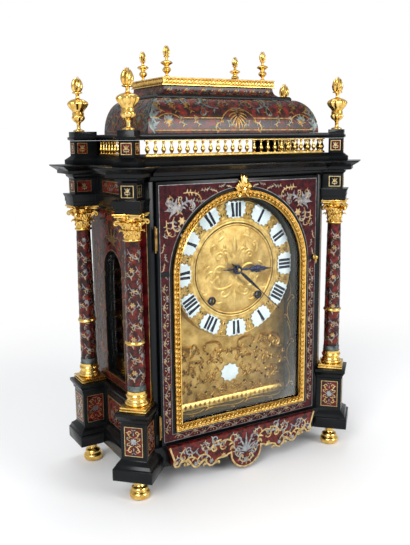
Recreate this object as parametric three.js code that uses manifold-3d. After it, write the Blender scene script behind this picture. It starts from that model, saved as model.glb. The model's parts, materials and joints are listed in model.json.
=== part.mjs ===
// Bracket clock in a marquetry case: four columns on pedestals, a balustrade and a cushion dome.
// Millimetres, +Z up, the glazed door faces -Y. The origin lies on the floor, midway between
// the front tips of the cornice and the flat back.

import * as THREE from "three";
import { mergeVertices } from "three/addons/utils/BufferGeometryUtils.js";
import Module from "manifold-3d";

const wasm = await Module();
wasm.setup();

// Fits that the whole clock shares
const SEAT_GAP = 0.3;
const RUNNING_GAP = 0.3;
const CUT_OVERRUN = 5;
const JOIN_OVERLAP = 0.5;
const QUARTER_TURN = Math.PI / 2;
const EIGHTH_TURN = Math.PI / 4;

// Plan of the case
const HALF_DEPTH = 108.4;
const COLUMN_CASE_GAP = 0.4;
const BACK_COLUMN_GAP = 3.4;
const BACK_COLUMN_INSET = 25;
const CANT_WIDTH = 15;
const FRONT_STILE_WIDTH = 8.5;
const CASE_FRONT_SETBACK = 1.968;
const CANT_DEPTH = 14;
const CASE_WALL = 10;

// Heights of the storeys
const FOOT_HEIGHT = 33.5;
const PLINTH_BLOCK_HEIGHT = 16;
const PLINTH_SLOPE_HEIGHT = 11;
const PEDESTAL_DIE_HEIGHT = 51;
const PEDESTAL_CAP_HEIGHT = 14.5;
const PLINTH_FLOOR_HEIGHT = 30;
const COLUMN_BASE_HEIGHT = 27;
const SHAFT_HEIGHT = 197.1;
const CAPITAL_HEIGHT = 35.4;
const ARCHITRAVE_HEIGHT = 16.5;
const FRIEZE_HEIGHT = 21;
const CORNICE_HEIGHT = 19.5;
const COURSE_HEIGHT = 11.5;
const BALUSTRADE_HEIGHT = 20.8;
const RAIL_HEIGHT = 7.7;
const FINIAL_BLOCK_HEIGHT = 12.2;
const DOME_HEIGHT = 46;
const DOME_MOULDING_HEIGHT = 5;
const NECK_HEIGHT = 13;
const BORDER_HEIGHT = 10.6;

const PLINTH_TOP = FOOT_HEIGHT + PLINTH_FLOOR_HEIGHT;
const PEDESTAL_TOP = FOOT_HEIGHT + PLINTH_BLOCK_HEIGHT + PLINTH_SLOPE_HEIGHT
  + PEDESTAL_DIE_HEIGHT + PEDESTAL_CAP_HEIGHT;
const SHAFT_BASE = PEDESTAL_TOP + COLUMN_BASE_HEIGHT;
const CAPITAL_BASE = SHAFT_BASE + SHAFT_HEIGHT;
const ARCHITRAVE_BASE = CAPITAL_BASE + CAPITAL_HEIGHT;
const FRIEZE_BASE = ARCHITRAVE_BASE + ARCHITRAVE_HEIGHT;
const CORNICE_BASE = FRIEZE_BASE + FRIEZE_HEIGHT;
const COURSE_BASE = CORNICE_BASE + CORNICE_HEIGHT;
const BALUSTRADE_BASE = COURSE_BASE + COURSE_HEIGHT;
const RAIL_BASE = BALUSTRADE_BASE + BALUSTRADE_HEIGHT;
const DOME_BASE = RAIL_BASE + RAIL_HEIGHT;
const BORDER_BASE = DOME_BASE + DOME_HEIGHT + DOME_MOULDING_HEIGHT + NECK_HEIGHT;

// Pedestals and plinth: reaches are measured out from the face of the die
const PEDESTAL_DIE_HALF = 17.8;
const PLINTH_BLOCK_REACH = 9.7;
const PEDESTAL_CAP_REACH = 5.4;
const PEDESTAL_BACKING = 22;
const SIDE_DIE_REACH = 5;

// Entablature: reaches are measured out from the face of the frieze
const FRIEZE_HALF = 11.5;
const ARCHITRAVE_REACH = 7.2;
const CORNICE_REACH = 23.1;
const SIDE_FRIEZE_REACH = 2;
const FRONT_FRIEZE_REACH = 2.4;
const BACK_FRIEZE_HALF_WIDTH = 14;

// Gallery storey
const GALLERY_DIE_HALF = 10.3;
const GALLERY_BASE_REACH = 6.7;
const GALLERY_CAP_REACH = 2.5;
const FINIAL_BLOCK_REACH = 0.8;
const FINIAL_CAP_HEIGHT = 5;
const COURSE_SIDE_REACH = 1;
const COURSE_FRONT_REACH = 1.3;
const GALLERY_BACK_SETBACK = 13.4;
const BACK_POST_WIDTH = 34;
const BACK_POST_DEPTH = 10;
const RAIL_REACH = 2.2;
const BALUSTER_LINE_INSET = 4;
const FRONT_BALUSTERS = 25;
const FRONT_RUN_END_GAP = 12;
const SIDE_BALUSTERS = 12;
const SIDE_RUN_END_GAP = 8.3;
const BALUSTER_RADIUS = 3.1;
const BALUSTER_SIDES = 4;
const BASE_STRIP_HEIGHT = 2.6;
const TOP_STRIP_HEIGHT = 1.2;
const STRIP_HALF_WIDTH = 2.4;
const STRIP_END = 3.2;

// Dome
const DOME_SIDE_SETBACK = 19.5;
const DOME_FRONT_SETBACK = 5.3;
const DOME_BACK_SETBACK = 18.9;
const DOME_INSET = 29.5;
const DOME_STEPS = 8;
const DOME_MOULDING_REACH = 1.6;
const NECK_LEDGE = 11;
const NECK_INSET = 7.5;
const BORDER_INSET = 44.5;
const BORDER_BACK_REACH = 2.5;
const SMALL_FINIAL_INSET = 13.7;

// Feet, columns and finials
const FOOT_RADIUS = 14.3;
const COLUMN_PLINTH_HALF = 18.4;
const COLUMN_PLINTH_HEIGHT = 6.7;
const COLUMN_TORUS_RADIUS = 15.8;
const SHAFT_RADIUS = 11.6;
const SHAFT_TOP_RADIUS = 9.9;
const SHAFT_RING_RADIUS = 13.6;
const SHAFT_RING_RISE = 62.5;
const SHAFT_RING_HEIGHT = 5;
const CAPITAL_RADIUS = 11;
const CAPITAL_LEAVES = 8;
const CAPITAL_HORN_SHARPNESS = 6;
const CAPITAL_LEAF_REACH = 5.6;
const CAPITAL_HORN_REACH = 12.5;
const ABACUS_HALF = 19.5;
const ABACUS_HEIGHT = 4.6;
const ABACUS_HOLLOW = 3.4;
const LARGE_FINIAL_RADIUS = 14.7;
const LARGE_FINIAL_HEIGHT = 74.3;
const SMALL_FINIAL_RADIUS = 8;
const SMALL_FINIAL_HEIGHT = 42;

// Door, bezel and apron
const DOOR_BORDER = 31.5;
const DOOR_BOTTOM_CLEARANCE = 0.8;
const DOOR_TOP_CLEARANCE = 0.7;
const DOOR_PROUD = 4;
const DOOR_THICKNESS = 12;
const DOOR_RECESS_CLEARANCE = 1.5;
const DOOR_HEAD = 25.6;
const GLAZED_HALF_WIDTH = 100;
const DOOR_FOOT_RAIL = 26.7;
const BEZEL_WIDTH = 10.5;
const BEZEL_THICKNESS = 4.2;
const BEZEL_BEVEL = 1.3;
const GLASS_REBATE = 5;
const GLASS_THICKNESS = 2.5;
const CREST_HALF_WIDTH = 15;
const CREST_HEIGHT = 21.5;
const CREST_THICKNESS = 4.6;
const CREST_RISE = 5.5;
const HINGE_RADIUS = 1.6;
const HINGE_LENGTH = 35;
const HINGE_FORWARD = 1.9;
const HINGE_OUTWARD = 1.3;
const UPPER_HINGE_DROP = 90.8;
const LOWER_HINGE_RISE = 10.2;
const HINGE_LEAF_WIDTH = 2.6;
const CATCH_INSET = 5;
const CATCH_RISE = 5.4;
const CATCH_RADIUS = 3.6;
const CATCH_LENGTH = 7;
const CATCH_LEVER = 9;
const CATCH_SPINDLE_RADIUS = 1.8;
const CATCH_SPINDLE_LENGTH = 8;
const APRON_END_INSET = 14;
const APRON_DROP = 59;
const APRON_THICKNESS = 8;
const APRON_FORWARD = 13;

// Side windows and back door
const WINDOW_HALF_WIDTH = 29;
const WINDOW_SILL_RISE = 16.5;
const WINDOW_HEAD_DROP = 27.6;
const WINDOW_GLASS_INSET = 5;
const BACK_DOOR_THICKNESS = 9;
const BACK_DOOR_SET_IN = 4.4;
const BACK_DOOR_CLEARANCE = 0.5;
const BACK_KNUCKLE_RADIUS = 1.5;
const BACK_KNUCKLE_LENGTH = 30;
const BACK_KNUCKLE_SEAT_SHARE = 0.9;
const BACK_KNOB_RADIUS = 5;
const BACK_KNOB_LENGTH = 3.8;

// Dial
const DIAL_CENTRE_DROP = 2.7;
const DIAL_SETBACK = 32;
const DIAL_PLATE_THICKNESS = 3;
const DIAL_PLATE_MARGIN = 8;
const REVEAL_LINING = 1.5;
const REVEAL_MARGIN = 1.7;
const RING_WIDTH = 33.5;
const CENTRE_RISE = 15.5;
const RING_MARGIN = 1.5;
const RING_RISE = 17.5;
const CARTOUCHE_RISE = 1.6;
const CARTOUCHE_INSET = 14;
const CARTOUCHE_HALF_WIDTH = 15.5;
const CARTOUCHE_HALF_HEIGHT = 11.5;
const HOURS = 12;
const WINDING_HOLE_RADIUS = 5;
const WINDING_COLLAR_WIDTH = 2;
const WINDING_COLLAR_RISE = 1.2;
const PLAQUE_RADIUS = 13.5;
const PLAQUE_THICKNESS = 2;
const PLAQUE_RISE = 45.5;
const PLAQUE_LOBES = 11;
const PLAQUE_VALLEY_SHARE = 0.82;

// Hands and motion work
const HOUR_HAND_LENGTH = 62;
const HOUR_HAND_TAIL = 25;
const MINUTE_HAND_LENGTH = 96;
const MINUTE_HAND_TAIL = 16;
const HAND_THICKNESS = 1.6;
const HAND_SPACING = 2;
const HAND_CLEARANCE = 2.2;
const HOUR_BOSS_RADIUS = 8;
const MINUTE_BOSS_RADIUS = 6;
const HOUR_HAND_ANGLE = 93.5 * Math.PI / 180;
const MINUTE_HAND_ANGLE = 132 * Math.PI / 180;
const ARBOR_RADIUS = 2.2;
const HOUR_PIPE_RADIUS = 4.2;
const GEAR_THICKNESS = 2;
const GEAR_SPACING = 2.4;
const CANNON_TEETH = 12;
const MINUTE_WHEEL_TEETH = 36;
const MINUTE_PINION_TEETH = 10;
const HOUR_WHEEL_TEETH = 40;
const MOTION_CENTRES = 24;
const MINUTE_STUD_RADIUS = 1.5;
const MINUTE_STUD_ANGLE = 50 * Math.PI / 180;

// Movement
const MOVEMENT_SPACE = 11.5;
const MOVEMENT_DEPTH_SHARE = 0.4255;
const MOVEMENT_PLATE = 3;
const MOVEMENT_BELOW = 79.5;
const MOVEMENT_ABOVE = 50.5;
const PILLAR_RADIUS = 3.5;
const PILLAR_INSET = 8;
const DIAL_FOOT_RADIUS = 2.5;
const BARREL_ACROSS_SHARE = 0.6;
const BARREL_DROP_SHARE = 0.645;
const BARREL_RADIUS = 23.5;
const GREAT_WHEEL_RADIUS = 27;
const GREAT_WHEEL_THICKNESS = 3;
const BARREL_ARBOR_RADIUS = 2.7;
const WINDING_SQUARE = 4.6;
const WINDING_SQUARE_SET_IN = 2;
const END_SHAKE = 1.5;
const PALLET_RISE = 36.5;
const PALLET_RADIUS = 1.5;
const PALLET_SPAN = 15;
const PALLET_DROP = 12;
const PALLET_THICKNESS = 3;
const CRUTCH_LENGTH = 34;
const PENDULUM_LENGTH_SHARE = 0.8;
const PENDULUM_ROD_RADIUS = 1.5;
const BOB_RADIUS = 26;
const BOB_THICKNESS = 10;
const PENDULUM_HUB_RADIUS = 5;
const PENDULUM_BEHIND = 9;
const BELL_RADIUS_SHARE = 0.66;
const BELL_HEIGHT = 27;
const BELL_WALL = 2;
const BELL_MOUTH_RISE = 21;
const BELL_POST_RADIUS = 2;
const HAMMER_INSET = 14;
const HAMMER_RISE = 28.5;
const HAMMER_ARBOR_RADIUS = 1.8;
const HAMMER_HEAD_RADIUS = 5;
const HAMMER_HEAD_THICKNESS = 6;
const HAMMER_ARM_WIDTH = 3;
const HAMMER_OFF_BELL = 1.6;

// Facets of turned work
const FOOT_SIDES = 12;
const COLUMN_SIDES = 12;
const LARGE_FINIAL_SIDES = 10;
const SMALL_FINIAL_SIDES = 8;
const RING_SIDES = 36;
const SMALL_ROUND_SIDES = 10;
const DRUM_SIDES = 16;
const THIN_ROD_SIDES = 6;
const ARCH_STEPS = 11;

// Outlines as shares of the radius or reach, and of the height, of the piece
const FOOT_SHARES = [
  [0, 0], [0.62, 0], [0.9, 0.06], [1, 0.19], [0.92, 0.31], [0.76, 0.38], [0.8, 0.44],
  [0.5, 0.54], [0.42, 0.68], [0.52, 0.88], [0.7, 0.93], [0.7, 1], [0, 1],
];
const COLUMN_TORUS_SHARES = [
  [0, 0], [0.93, 0], [1, 0.2], [0.93, 0.4], [0.78, 0.5], [0.9, 0.7], [0.86, 0.88],
  [0.77, 1], [0, 1],
];
const LARGE_FINIAL_SHARES = [
  [0, 0], [0.58, 0], [0.5, 0.05], [0.22, 0.1], [0.5, 0.18], [0.65, 0.29], [0.56, 0.39],
  [1, 0.46], [0.94, 0.53], [0.2, 0.63], [0.4, 0.7], [0.53, 0.82], [0.34, 0.93], [0, 1],
];
const SMALL_FINIAL_SHARES = [
  [0, 0], [0.4, 0], [0.34, 0.1], [0.78, 0.24], [0.42, 0.36], [1, 0.47], [0.3, 0.57],
  [0.7, 0.79], [0.42, 0.94], [0, 1],
];
const BALUSTER_SHARES = [[0.7, 0], [1, 0.34], [0.42, 1]];
const BEZEL_CREST_SHARES = [
  [1, 0], [0.72, 0.22], [1, 0.4], [0.7, 0.46], [0.98, 0.72], [0.56, 0.66],
  [0.62, 0.94], [0.26, 0.8], [0, 1],
];
const ARCHITRAVE_SHARES = [
  [0.64, 0], [0.64, 0.32], [0.76, 0.34], [0.76, 0.68], [1, 0.92], [1, 1],
];
const CORNICE_SHARES = [
  [0, 0], [0.13, 0.16], [0.15, 0.3], [0.54, 0.37], [0.54, 0.58], [0.66, 0.68],
  [0.94, 0.88], [1, 0.92], [1, 1],
];
const PLINTH_SLOPE_SHARES = [[1, 0], [0.76, 0.1], [0.6, 0.5], [0.15, 0.82], [0, 1]];
const PEDESTAL_CAP_SHARES = [[0, 0], [0.3, 0.12], [0.3, 0.28], [0.86, 0.66], [1, 0.72], [1, 1]];
const COURSE_SHARES = [[1, 0], [1, 0.52], [0.78, 0.6], [0.24, 0.88], [0, 1]];
const RAIL_SHARES = [[0, 0], [0, 0.2], [0.6, 0.34], [1, 0.46], [1, 0.86], [0.5, 1]];
const NECK_SHARES = [[0, 0], [0.5, 0.2], [0.84, 0.5], [1, 1]];
const BORDER_SHARES = [[1, 0], [0.3, 0.2], [0, 0.5], [0.1, 0.78], [0.6, 1]];
const BORDER_ROUND = 3.4;
const RING_SHARES = [[0, 0], [0, 0.78], [0.2, 1], [0.8, 1], [1, 0.6], [1, 0]];
const CARTOUCHE_SHARES = [
  [0.58, 1], [0, 0.9], [-0.58, 1], [-1, 0.36], [-0.8, -0.42], [-0.5, -1], [0, -0.88],
  [0.5, -1], [0.8, -0.42], [1, 0.36],
];
const APRON_EDGE_SHARES = [
  [1, 1], [0.972, 0.82], [0.948, 0.67], [0.956, 0.58], [0.94, 0.5], [0.909, 0.463],
  [0.869, 0.488], [0.849, 0.564], [0.806, 0.573], [0.758, 0.539], [0.734, 0.454],
  [0.702, 0.37], [0.663, 0.336], [0.619, 0.361], [0.591, 0.437], [0.56, 0.463],
  [0.536, 0.378], [0.504, 0.302], [0.464, 0.271], [0.421, 0.31], [0.397, 0.386],
  [0.365, 0.412], [0.262, 0.412], [0.242, 0.45],
];
const APRON_LOBE_RADIUS_SHARE = 0.217;
const APRON_LOBE_CENTRE_SHARE = 0.463;
const APRON_LOBE_STEPS = 8;
const HOUR_HAND_SHARES = [
  [0.1, 0.045], [0.36, 0.03], [0.44, 0.05], [0.47, 0.14], [0.53, 0.08], [0.56, 0.2],
  [0.63, 0.11], [0.7, 0.17], [0.72, 0.07], [0.82, 0.05], [1, 0],
];
const MINUTE_HAND_SHARES = [[0.05, 0.03], [0.2, 0.042], [0.3, 0.018], [1, 0.004]];
const BOB_SHARES = [[0, -1], [0.5, -0.9], [1, 0], [0.5, 0.9], [0, 1]];
const TOOTH_SHARES = [[0.3, -1.15], [0.08, 0.85]];

// Places worked out from the sizes above
const DOOR_HALF_WIDTH = GLAZED_HALF_WIDTH + DOOR_BORDER;
const CASE_FRONT_HALF_WIDTH = DOOR_HALF_WIDTH + FRONT_STILE_WIDTH;
const CASE_HALF_WIDTH = CASE_FRONT_HALF_WIDTH + CANT_WIDTH;
const FRONT_COLUMN_X = CASE_HALF_WIDTH - CASE_FRONT_SETBACK - CANT_DEPTH
  + (COLUMN_PLINTH_HALF + COLUMN_CASE_GAP) * Math.SQRT2;
const FRONT_COLUMN_Y = -HALF_DEPTH + (FRIEZE_HALF + CORNICE_REACH) * Math.SQRT2;
const BACK_COLUMN_X = CASE_HALF_WIDTH + COLUMN_PLINTH_HALF + BACK_COLUMN_GAP;
const BACK_COLUMN_Y = HALF_DEPTH - BACK_COLUMN_INSET;
const CASE_FRONT_Y = FRONT_COLUMN_Y + CASE_FRONT_SETBACK;
const CANT_END_Y = CASE_FRONT_Y + CANT_DEPTH;
const CASE_BASE = PLINTH_TOP + SEAT_GAP;
const CASE_TOP = CORNICE_BASE - SEAT_GAP;
const CASE_FLOOR = CASE_BASE + CASE_WALL;
const SIDE_DIE_X = CASE_HALF_WIDTH + SIDE_DIE_REACH;
const SIDE_FRIEZE_X = CASE_HALF_WIDTH + SIDE_FRIEZE_REACH;
const FRONT_FRIEZE_Y = CASE_FRONT_Y - FRONT_FRIEZE_REACH;
const COURSE_SIDE_X = CASE_HALF_WIDTH + COURSE_SIDE_REACH;
const COURSE_FRONT_Y = CASE_FRONT_Y - COURSE_FRONT_REACH;
const GALLERY_BACK_Y = HALF_DEPTH - GALLERY_BACK_SETBACK;
const BACK_POST_INNER_X = COURSE_SIDE_X - BACK_POST_WIDTH;
const DOME_HALF_WIDTH = COURSE_SIDE_X - DOME_SIDE_SETBACK;
const DOME_FRONT_Y = COURSE_FRONT_Y + DOME_FRONT_SETBACK;
const DOME_BACK_Y = HALF_DEPTH - DOME_BACK_SETBACK;
const DOOR_FACE_Y = CASE_FRONT_Y - DOOR_PROUD;
const DOOR_BACK_Y = DOOR_FACE_Y + DOOR_THICKNESS;
const DOOR_BOTTOM = PLINTH_TOP + DOOR_BOTTOM_CLEARANCE;
const DOOR_TOP = CORNICE_BASE - DOOR_TOP_CLEARANCE;
const ARCH_CENTRE_Z = DOOR_TOP - DOOR_HEAD - GLAZED_HALF_WIDTH;
const GLAZED_BOTTOM = DOOR_BOTTOM + DOOR_FOOT_RAIL;
const HINGE_X = -DOOR_HALF_WIDTH - HINGE_OUTWARD;
const HINGE_Y = DOOR_FACE_Y - HINGE_FORWARD;
const UPPER_HINGE_Z = DOOR_TOP - UPPER_HINGE_DROP;
const LOWER_HINGE_Z = DOOR_BOTTOM + LOWER_HINGE_RISE;
const CATCH_X = DOOR_HALF_WIDTH - CATCH_INSET;
const CATCH_Z = ARCH_CENTRE_Z + CATCH_RISE;
const APRON_HALF_WIDTH = CASE_FRONT_HALF_WIDTH - APRON_END_INSET;
const APRON_FRONT_Y = CASE_FRONT_Y - APRON_FORWARD;
const PLINTH_FRONT_Y = APRON_FRONT_Y + APRON_THICKNESS + SEAT_GAP;
const WINDOW_BOTTOM = PEDESTAL_TOP + WINDOW_SILL_RISE;
const WINDOW_TOP = CAPITAL_BASE - WINDOW_HEAD_DROP;
const WINDOW_CENTRE_Y = (CANT_END_Y + HALF_DEPTH) / 2;
const BACK_DOOR_REAR_Y = HALF_DEPTH - BACK_DOOR_SET_IN;
const DIAL_CENTRE_Z = ARCH_CENTRE_Z - DIAL_CENTRE_DROP;
const DIAL_PLATE_Y = CASE_FRONT_Y + DIAL_SETBACK;
const DIAL_BACK_Y = DIAL_PLATE_Y + DIAL_PLATE_THICKNESS;
const BOARD_FRONT_Y = DOOR_BACK_Y + SEAT_GAP;
const BOARD_BACK_Y = DIAL_PLATE_Y - SEAT_GAP;
const RING_RADIUS = GLAZED_HALF_WIDTH - RING_MARGIN;
const CENTRE_RADIUS = RING_RADIUS - RING_WIDTH;
const CARTOUCHE_RADIUS = RING_RADIUS - CARTOUCHE_INSET;
const CENTRE_FRONT_Y = DIAL_PLATE_Y - CENTRE_RISE;
const RING_FRONT_Y = DIAL_PLATE_Y - SEAT_GAP - RING_RISE;
const WINDING_COLLAR_RADIUS = WINDING_HOLE_RADIUS + WINDING_COLLAR_WIDTH;
const PLAQUE_Z = GLAZED_BOTTOM + PLAQUE_RISE;
const HOUR_HAND_Y = RING_FRONT_Y - CARTOUCHE_RISE - HAND_CLEARANCE;
const MINUTE_HAND_Y = HOUR_HAND_Y - HAND_THICKNESS - HAND_SPACING;
const BARREL_X = CENTRE_RADIUS * BARREL_ACROSS_SHARE;
const BARREL_Z = DIAL_CENTRE_Z - CENTRE_RADIUS * BARREL_DROP_SHARE;
const MOVEMENT_HALF_WIDTH = BARREL_X + GREAT_WHEEL_RADIUS;
const MOVEMENT_BOTTOM = DIAL_CENTRE_Z - MOVEMENT_BELOW;
const MOVEMENT_TOP = DIAL_CENTRE_Z + MOVEMENT_ABOVE;
const MOVEMENT_DEPTH = (BACK_DOOR_REAR_Y - BACK_DOOR_THICKNESS - DIAL_BACK_Y)
  * MOVEMENT_DEPTH_SHARE;
const FRONT_PLATE_Y = DIAL_BACK_Y + MOVEMENT_SPACE;
const BACK_PLATE_Y = FRONT_PLATE_Y + MOVEMENT_PLATE + MOVEMENT_DEPTH;
const MOVEMENT_MIDDLE_Y = FRONT_PLATE_Y + MOVEMENT_PLATE + MOVEMENT_DEPTH / 2;
const PALLET_Z = DIAL_CENTRE_Z + PALLET_RISE;
const PENDULUM_LENGTH = (PALLET_Z - CASE_FLOOR) * PENDULUM_LENGTH_SHARE;
const BELL_RADIUS = MOVEMENT_DEPTH * BELL_RADIUS_SHARE;
const HAMMER_X = MOVEMENT_HALF_WIDTH - HAMMER_INSET;
const HAMMER_Z = DIAL_CENTRE_Z + HAMMER_RISE;

// Materials
const EBONY = { color: 0x14151a, roughness: 0.25, metalness: 0 };
const MARQUETRY = { color: 0x6b1f22, roughness: 0.3, metalness: 0.1 };
const GILT = { color: 0xc99b3a, roughness: 0.32, metalness: 1 };
const BRASS = { color: 0xb8964a, roughness: 0.38, metalness: 1 };
const BLUED_STEEL = { color: 0x20243a, roughness: 0.3, metalness: 0.9 };
const STEEL = { color: 0x8c8f94, roughness: 0.35, metalness: 1 };
const REVEAL_METAL = { color: 0x4c4d50, roughness: 0.4, metalness: 0.6 };
const ENAMEL = { color: 0xe8eef4, roughness: 0.15, metalness: 0 };
const GLASS = { color: 0xdfe8ea, roughness: 0.05, metalness: 0, transparent: true, opacity: 0.25 };

const clock = new THREE.Group();
clock.name = "bracket_clock";

// Solids: each shape below is a closed geometry; joins and cuts are made on its merged vertices.

function signedVolume({ attributes: { position }, index }) {
  const a = new THREE.Vector3();
  const b = new THREE.Vector3();
  const c = new THREE.Vector3();
  let volume = 0;
  for (let i = 0; i < index.count; i += 3) {
    a.fromBufferAttribute(position, index.getX(i));
    b.fromBufferAttribute(position, index.getX(i + 1));
    c.fromBufferAttribute(position, index.getX(i + 2));
    volume += a.dot(b.cross(c));
  }
  return volume;
}

// Vertices are merged and the faces are made to point out, whichever way the shape was drawn.
function closed(geometry) {
  geometry.deleteAttribute("normal");
  geometry.deleteAttribute("uv");
  const merged = mergeVertices(geometry);
  if (signedVolume(merged) < 0) {
    const { array } = merged.index;
    for (let i = 0; i < array.length; i += 3) {
      [array[i], array[i + 1]] = [array[i + 1], array[i]];
    }
  }
  return merged;
}

function toManifold({ attributes, index }) {
  const vertProperties = new Float32Array(attributes.position.array);
  const triVerts = new Uint32Array(index.array);
  return new wasm.Manifold(new wasm.Mesh({ numProp: 3, vertProperties, triVerts }));
}

function toGeometry(manifold) {
  const mesh = manifold.getMesh();
  const geometry = new THREE.BufferGeometry();
  geometry.setAttribute("position", new THREE.BufferAttribute(mesh.vertProperties, 3));
  geometry.setIndex(new THREE.BufferAttribute(mesh.triVerts, 1));
  return geometry;
}

function union(...shapes) {
  return toGeometry(shapes.map(toManifold).reduce((whole, piece) => whole.add(piece)));
}

function cut(shape, ...tools) {
  return toGeometry(tools.map(toManifold).reduce(
    (rest, tool) => rest.subtract(tool), toManifold(shape),
  ));
}

function moved(shape, x, y, z) {
  return shape.clone().translate(x, y, z);
}

function box(x0, x1, y0, y1, z0, z1) {
  const geometry = new THREE.BoxGeometry(x1 - x0, y1 - y0, z1 - z0);
  return closed(geometry.translate((x0 + x1) / 2, (y0 + y1) / 2, (z0 + z1) / 2));
}

// Turned about Z from an outline of radii and heights.
function spun(outline, sides) {
  const points = outline.map(([radius, z]) => new THREE.Vector2(radius, z));
  return closed(new THREE.LatheGeometry(points, sides).rotateX(QUARTER_TURN));
}

function turned(shares, radius, height, sides) {
  return spun(shares.map(([r, z]) => [r * radius, z * height]), sides);
}

// A round bar along Y, from y0 to y1.
function barAlongY(radius, y0, y1, x, z, sides = SMALL_ROUND_SIDES) {
  const geometry = new THREE.CylinderGeometry(radius, radius, y1 - y0, sides);
  return closed(geometry.translate(x, (y0 + y1) / 2, z));
}

function barAlongZ(radius, z0, z1, x, y, sides = SMALL_ROUND_SIDES) {
  const geometry = new THREE.CylinderGeometry(radius, radius, z1 - z0, sides);
  return closed(geometry.rotateX(QUARTER_TURN).translate(x, y, (z0 + z1) / 2));
}

// An upright plate: its outline is drawn in X and Z, and it runs from y0 to y1.
function upright(shape, y0, y1) {
  const geometry = new THREE.ExtrudeGeometry(shape, {
    depth: y1 - y0, bevelEnabled: false, curveSegments: ARCH_STEPS,
  });
  return closed(geometry.rotateX(QUARTER_TURN).translate(0, y1, 0));
}

function shapeFrom(points) {
  return new THREE.Shape(points.map(([x, z]) => new THREE.Vector2(x, z)));
}

// Rings of points with one count are joined from the first to the last and closed at both ends.
function loft(levels) {
  const flat = levels[0].map(([x, y]) => new THREE.Vector2(x, y));
  const backwards = THREE.ShapeUtils.isClockWise(flat);
  if (backwards) {
    flat.reverse();
  }
  const rings = backwards ? levels.map((level) => level.slice().reverse()) : levels;
  const count = flat.length;
  const vertices = rings.flat(2);
  const index = [];
  for (let ring = 0; ring < rings.length - 1; ring += 1) {
    for (let i = 0; i < count; i += 1) {
      const a = ring * count + i;
      const b = ring * count + (i + 1) % count;
      index.push(a, b, b + count, a, b + count, a + count);
    }
  }
  const top = (rings.length - 1) * count;
  for (const [a, b, c] of THREE.ShapeUtils.triangulateShape(flat, [])) {
    index.push(c, b, a, top + a, top + b, top + c);
  }
  const geometry = new THREE.BufferGeometry();
  geometry.setAttribute("position", new THREE.Float32BufferAttribute(vertices, 3));
  geometry.setIndex(index);
  return closed(geometry);
}

// A moulding runs round a plan: each point of its profile gives a reach and a height.
function moulded(plan, profile) {
  return loft(profile.map(([reach, z]) => plan(reach).map(([x, y]) => [x, y, z])));
}

function profileFrom(shares, reach, base, height) {
  return shares.map(([r, z]) => [r * reach, base + z * height]);
}

function rectangle(x0, x1, y0, y1) {
  return [[x0, y0], [x1, y0], [x1, y1], [x0, y1]];
}

// A square set at 45 degrees on a front column's axis, lengthened inward to reach the case.
function turnedPlan(side, half, inward) {
  const s = Math.SQRT1_2;
  const corner = (out, across) => [
    side * (FRONT_COLUMN_X + s * out - s * across),
    FRONT_COLUMN_Y - s * out - s * across,
  ];
  return [corner(half, -half), corner(half, half), corner(-inward, half), corner(-inward, -half)];
}

function backPlan(side, halfX, halfY) {
  const x = [side * (BACK_COLUMN_X + halfX), side * (CASE_HALF_WIDTH - SEAT_GAP)];
  return rectangle(Math.min(...x), Math.max(...x), BACK_COLUMN_Y - halfY, BACK_COLUMN_Y + halfY);
}

function casePlan(margin) {
  return [
    [-CASE_FRONT_HALF_WIDTH - margin, CASE_FRONT_Y - margin],
    [CASE_FRONT_HALF_WIDTH + margin, CASE_FRONT_Y - margin],
    [CASE_HALF_WIDTH + margin, CANT_END_Y - margin],
    [CASE_HALF_WIDTH + margin, HALF_DEPTH + margin],
    [-CASE_HALF_WIDTH - margin, HALF_DEPTH + margin],
    [-CASE_HALF_WIDTH - margin, CANT_END_Y - margin],
  ];
}

function casePrism(margin, z0, z1) {
  return moulded(() => casePlan(margin), [[0, z0], [0, z1]]);
}

function behindBack() {
  const reach = CASE_HALF_WIDTH * 2;
  return box(-reach, reach, HALF_DEPTH, HALF_DEPTH * 2, 0, BORDER_BASE);
}

// A round-headed outline in X and Z, drawn anticlockwise.
function archShape(half, bottom, centreZ) {
  const shape = new THREE.Shape();
  shape.moveTo(-half, bottom);
  shape.lineTo(half, bottom);
  shape.lineTo(half, centreZ);
  shape.absarc(0, centreZ, half, 0, Math.PI, false);
  shape.lineTo(-half, bottom);
  return shape;
}

function archPlate(half, bottom, centreZ, y0, y1) {
  return upright(archShape(half, bottom, centreZ), y0, y1);
}

function addPart(name, shape, look) {
  const geometry = shape.clone();
  geometry.computeVertexNormals();
  const mesh = new THREE.Mesh(geometry, new THREE.MeshStandardMaterial(look));
  mesh.name = name;
  clock.add(mesh);
  return mesh;
}

// The four corners, each with its column's axis and the turn of what stands on it
const CORNERS = [
  { name: "front_left", x: -FRONT_COLUMN_X, y: FRONT_COLUMN_Y, turn: EIGHTH_TURN },
  { name: "front_right", x: FRONT_COLUMN_X, y: FRONT_COLUMN_Y, turn: EIGHTH_TURN },
  { name: "back_left", x: -BACK_COLUMN_X, y: BACK_COLUMN_Y, turn: 0 },
  { name: "back_right", x: BACK_COLUMN_X, y: BACK_COLUMN_Y, turn: 0 },
];
const SIDES = [-1, 1];

function addAtCorners(prefix, shape, look, z) {
  for (const corner of CORNERS) {
    const mesh = addPart(`${prefix}_${corner.name}`, shape, look);
    mesh.position.set(corner.x, corner.y, z);
    mesh.rotation.z = corner.turn;
  }
}

// Feet and plinth

function makeFoot() {
  return turned(FOOT_SHARES, FOOT_RADIUS, FOOT_HEIGHT - SEAT_GAP, FOOT_SIDES);
}

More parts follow.
